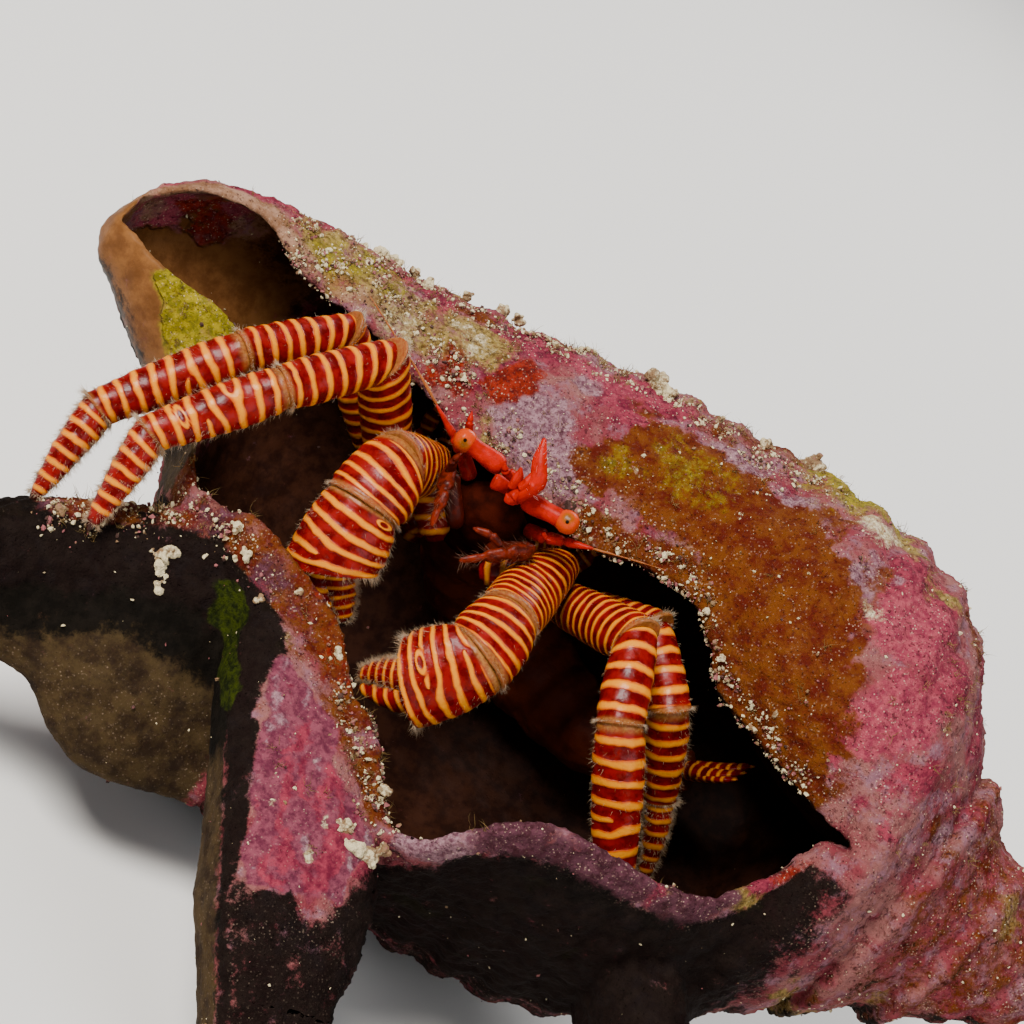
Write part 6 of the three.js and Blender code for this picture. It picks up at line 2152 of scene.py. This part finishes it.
@dataclass
class Clumps:
    """Heaps of sandy crust, small sponges and pale knobs that stand proud of the shell.

    Each heap is a ball with smaller balls round it, fused into one skin and roughened by noise; the tone
    of the nearest heap picks its colour.
    """

    crumbs: int = 10
    voxel: float = 0.11
    seed: int = 5
    places: tuple = (
        (-29.4, 18.9, 5.2, 1.6, 0.9), (-27.4, 17.2, 6.0, 1.2, 0.85), (-31.2, 15.4, 5.8, 1.0, 0.8),
        (-29.4, 11.6, 6.7, 0.8, 0.8), (-34.8, 15.8, 5.6, 0.6, 0.7), (-24.6, 16.0, 7.4, 0.7, 0.6),
        (-22.4, 14.6, 8.0, 0.8, 0.7), (-18.3, 24.0, 6.0, 0.7, 0.6), (-14.0, 24.1, 6.8, 1.0, 0.62),
        (-11.4, 23.4, 7.4, 0.9, 0.75), (-5.2, 20.4, 8.9, 0.6, 0.7), (-2.6, 21.4, 10.0, 0.9, 0.75),
        (-0.5, 21.0, 10.6, 0.7, 0.6), (6.5, 19.7, 12.9, 1.6, 0.6), (8.4, 19.3, 13.4, 1.1, 0.7),
        (10.9, 18.3, 14.2, 0.7, 0.6), (15.2, 19.1, 14.3, 0.7, 0.7), (21.5, 19.5, 15.7, 0.8, 0.65),
        (28.2, 24.5, 15.0, 1.5, 0.6), (28.6, 24.0, 12.8, 1.2, 0.5), (33.1, 18.6, 15.5, 1.1, 0.9),
        (35.0, 14.5, 16.6, 0.8, 0.9), (37.1, 10.2, 17.8, 1.0, 0.95), (10.3, 5.0, 8.6, 0.95, 0.42),
        (34.9, -4.3, 5.9, 1.0, 0.85), (35.8, -3.3, 6.2, 0.4, 0.85), (-25.9, -24.7, -22.6, 1.3, 0.85),
        (-25.0, -25.0, -24.2, 1.1, 0.8), (-26.0, -24.1, -20.9, 1.1, 0.85), (-27.2, -24.3, -21.9, 0.6, 0.7),
        (-4.0, -25.5, -17.4, 0.75, 0.95), (-18.9, -22.4, -16.0, 0.8, 0.9), (-19.6, -22.3, -17.2, 0.5, 0.9),
        (9.6, -40.5, -27.0, 1.5, 0.85), (11.8, -39.6, -27.4, 1.3, 0.7), (7.8, -39.9, -26.0, 1.0, 0.8),
        (12.6, -37.6, -26.6, 0.8, 0.6), (12.0, -34.4, -29.4, 1.0, 0.4), (-38.2, -26.8, -23.2, 0.8, 0.5),
        (-35.6, -23.4, -22.2, 0.7, 0.75), (-33.0, -19.4, -21.7, 0.8, 0.6), (-29.8, -19.4, -19.8, 0.6, 0.7),
        (-26.9, -18.8, -18.1, 0.8, 0.7), (-24.2, -20.2, -16.6, 0.6, 0.5), (-21.5, -21.2, -14.6, 0.8, 0.75),
        (-14.5, -24.1, -18.4, 0.7, 0.65), (-11.7, -23.4, -15.0, 0.6, 0.6), (-9.6, -27.4, -18.6, 0.6, 0.5),
        (-7.0, -24.3, -18.1, 0.6, 0.35), (-0.4, -27.9, -20.0, 0.7, 0.7), (4.1, -30.7, -21.6, 0.8, 0.5),
        (9.0, -33.5, -22.8, 0.8, 0.75), (-37.2, 8.0, 5.6, 0.5, 0.5), (-33.8, 8.8, 6.0, 0.6, 0.75),
        (-23.4, 9.4, 6.0, 0.6, 0.6), (-20.6, 9.0, 5.8, 0.7, 0.72), (-17.4, 7.6, 5.0, 0.8, 0.75),
        (-15.8, 9.6, 5.9, 0.7, 0.8), (-12.6, 9.8, 6.0, 0.5, 0.7), (16.4, 1.4, 5.5, 0.5, 0.6),
        (22.8, -1.2, 4.7, 0.5, 0.75), (26.5, -3.6, 3.6, 0.5, 0.8), (31.0, -6.2, 1.2, 0.5, 0.7),
        (38.5, -9.0, -2.2, 0.5, 0.65), (44.0, -9.6, -1.3, 0.6, 0.7),
    )

    def build(self) -> None:
        """Builds every heap as one piece."""
        rng = np.random.default_rng(self.seed)
        surface = Surface()
        a = np.linspace(0.1, math.pi - 0.1, 9)[:, None]
        b = TAU * np.arange(14)[None] / 14
        ball = np.stack([np.sin(a) * np.cos(b), np.sin(a) * np.sin(b), np.cos(a) + 0 * b], -1)
        for *centre, radius, _ in self.places:
            away = unit(rng.normal(size=(self.crumbs, 3))) * radius
            away = away * (0.55 + 0.45 * rng.random((self.crumbs, 1)))
            sizes = radius * (0.22 + 0.34 * rng.random(self.crumbs))
            surface.tube(np.array(centre) + ball * radius * 0.7)
            for spot, size in zip(away, sizes):
                surface.tube(np.array(centre) + spot + ball * size)
        piece = surface.build("shell_clumps", Finish.GRIT.made())
        applied(piece, "REMESH", mode="VOXEL", voxel_size=self.voxel * MM)
        p = crab_points(piece.data)
        centres = np.array([place[:3] for place in self.places])
        tone = np.array([place[4] for place in self.places])
        nearest = np.argmin(((p[:, None] - centres[None]) ** 2).sum(2), axis=1)
        grains = 1 - np.clip(cell_distance(p, 0.8, 15) / 0.6, 0, 1)
        lift = 0.2 * layered_noise(p, 0.6, 3, 13) - 0.14 * grains
        p = p + normals_of(piece.data) * lift[:, None]
        move_points(piece.data, p)
        set_value(piece.data, "tone", 0.8 * tone[nearest] + 0.16 * layered_noise(p, 1.3, 3, 17))
        placed(piece, "shell_crust")


GRITTY_LINES = (
    [[-36, 5.6, 3], [-28, 8, 5.5], [-16, 6, 3.6], [-6, 5, 2], [4, 3.2, 1.6], [12, -0.6, 0.8],
     [22, -2.2, 2.8], [33, -7.4, -1.8], [45, -10, -3.8]],
    [[-38, -26, -23], [-26, -19.5, -17.5], [-12, -20.4, -19], [-4, -23.4, -20.4], [3, -29, -21],
     [10, -34, -25]],
    [[-36, 9, 7], [-24, 14, 8], [-8, 18, 9], [10, 17, 13], [30, 14, 16]],
)


# --------------------------------------------------------------------------- stage and camera

@dataclass
class Studio:
    """Pale floor, soft lights and the camera."""

    focus: tuple[float, float, float] = (1.9, -1.0566, -2.2658)
    elevation: float = math.radians(25.0)
    distance: float = 330.0
    lens: float = 100.0
    floor_half: float = 2.4

    def floor(self) -> None:
        """Lays a large matt floor at the model's resting level."""
        n = 9
        x, y = np.meshgrid(np.linspace(-1, 1, n), np.linspace(-1, 1, n), indexing="ij")
        points = np.stack([x.ravel(), y.ravel(), 0 * x.ravel()], 1) * self.floor_half
        i, j = np.meshgrid(np.arange(n - 1), np.arange(n - 1), indexing="ij")
        a = (i * n + j).ravel()
        quads = np.stack([a, a + n, a + n + 1, a + 1], 1)
        r = Recipe("pale_studio_floor", Roughness=0.9, Specular_IOR_Level=0.2)
        r.finish("#e4e1dc")
        mesh = mesh_of("studio_floor", points, quads, np.zeros((0, 3), int))
        link("studio_floor", mesh, r.material)

    def lamp(self, name: str, place: tuple, aim: tuple, size: float, watts: float,
             tint: tuple = (1, 1, 1)) -> None:
        """Hangs one square soft light.

        Args:
            name: the light's name.
            place: where it hangs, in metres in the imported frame.
            aim: what it faces.
            size: its side in metres.
            watts: its power.
            tint: its colour.
        """
        data = bpy.data.lights.new(name, "AREA")
        data.size, data.energy, data.color = size, watts, tint
        lamp = bpy.data.objects.new(name, data)
        lamp.location = place
        lamp.rotation_euler = (Vector(aim) - Vector(place)).to_track_quat("-Z", "Y").to_euler()
        bpy.context.scene.collection.objects.link(lamp)

    def lights(self) -> None:
        """One key light above the upper left, a broad weak fill, a back light and a pale surround."""
        self.lamp("key_light", (-0.32, -0.36, 0.62), (0, 0, 0.05), 0.28, 12.0, (1.0, 0.97, 0.93))
        self.lamp("fill_light", (0.5, -0.45, 0.4), (0, 0, 0.04), 0.5, 2.6, (0.94, 0.97, 1.0))
        self.lamp("back_light", (0.1, 0.6, 0.5), (0, 0, 0.05), 0.4, 5.0)
        world = bpy.data.worlds.new("pale_surround")
        world.use_nodes = True
        sky = world.node_tree.nodes["Background"]
        sky.inputs["Color"].default_value = linear("#dfe3ea")
        sky.inputs["Strength"].default_value = 0.34
        bpy.context.scene.world = world

    def camera(self) -> None:
        """Stands the camera 25 degrees above the level, rolled so that the shell's length runs downhill."""
        back = np.array([0.0, math.cos(self.elevation), math.sin(self.elevation)]) * [1, -1, 1]
        rise = np.array([0.0, math.sin(self.elevation), math.cos(self.elevation)])
        right = 0.8 * ALONG + 0.6 * rise
        above = -0.6 * ALONG + 0.8 * rise
        place = (np.array(self.focus) + HOME_MM + back * self.distance) * MM
        data = bpy.data.cameras.new("camera")
        data.lens, data.sensor_width = self.lens, 36.0
        data.clip_start, data.clip_end = 0.01, 20.0
        camera = bpy.data.objects.new("camera", data)
        turn = Matrix((right, above, back)).transposed().to_4x4()
        camera.matrix_world = Matrix.Translation(place) @ turn
        bpy.context.scene.collection.objects.link(camera)
        bpy.context.scene.camera = camera


def main() -> None:
    """Builds the stage and then each sub-assembly."""
    logging.basicConfig(level=logging.INFO, format="%(message)s")
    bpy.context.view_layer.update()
    studio = Studio()
    studio.camera()
    studio.floor()
    studio.lights()
    shell = ConchShell().build()
    Encrusters().build(shell)
    Clumps().build()
    Trunk().build()
    Head().build()
    for limb in all_limbs():
        limb.build()


if __name__ == "__main__":
    main()
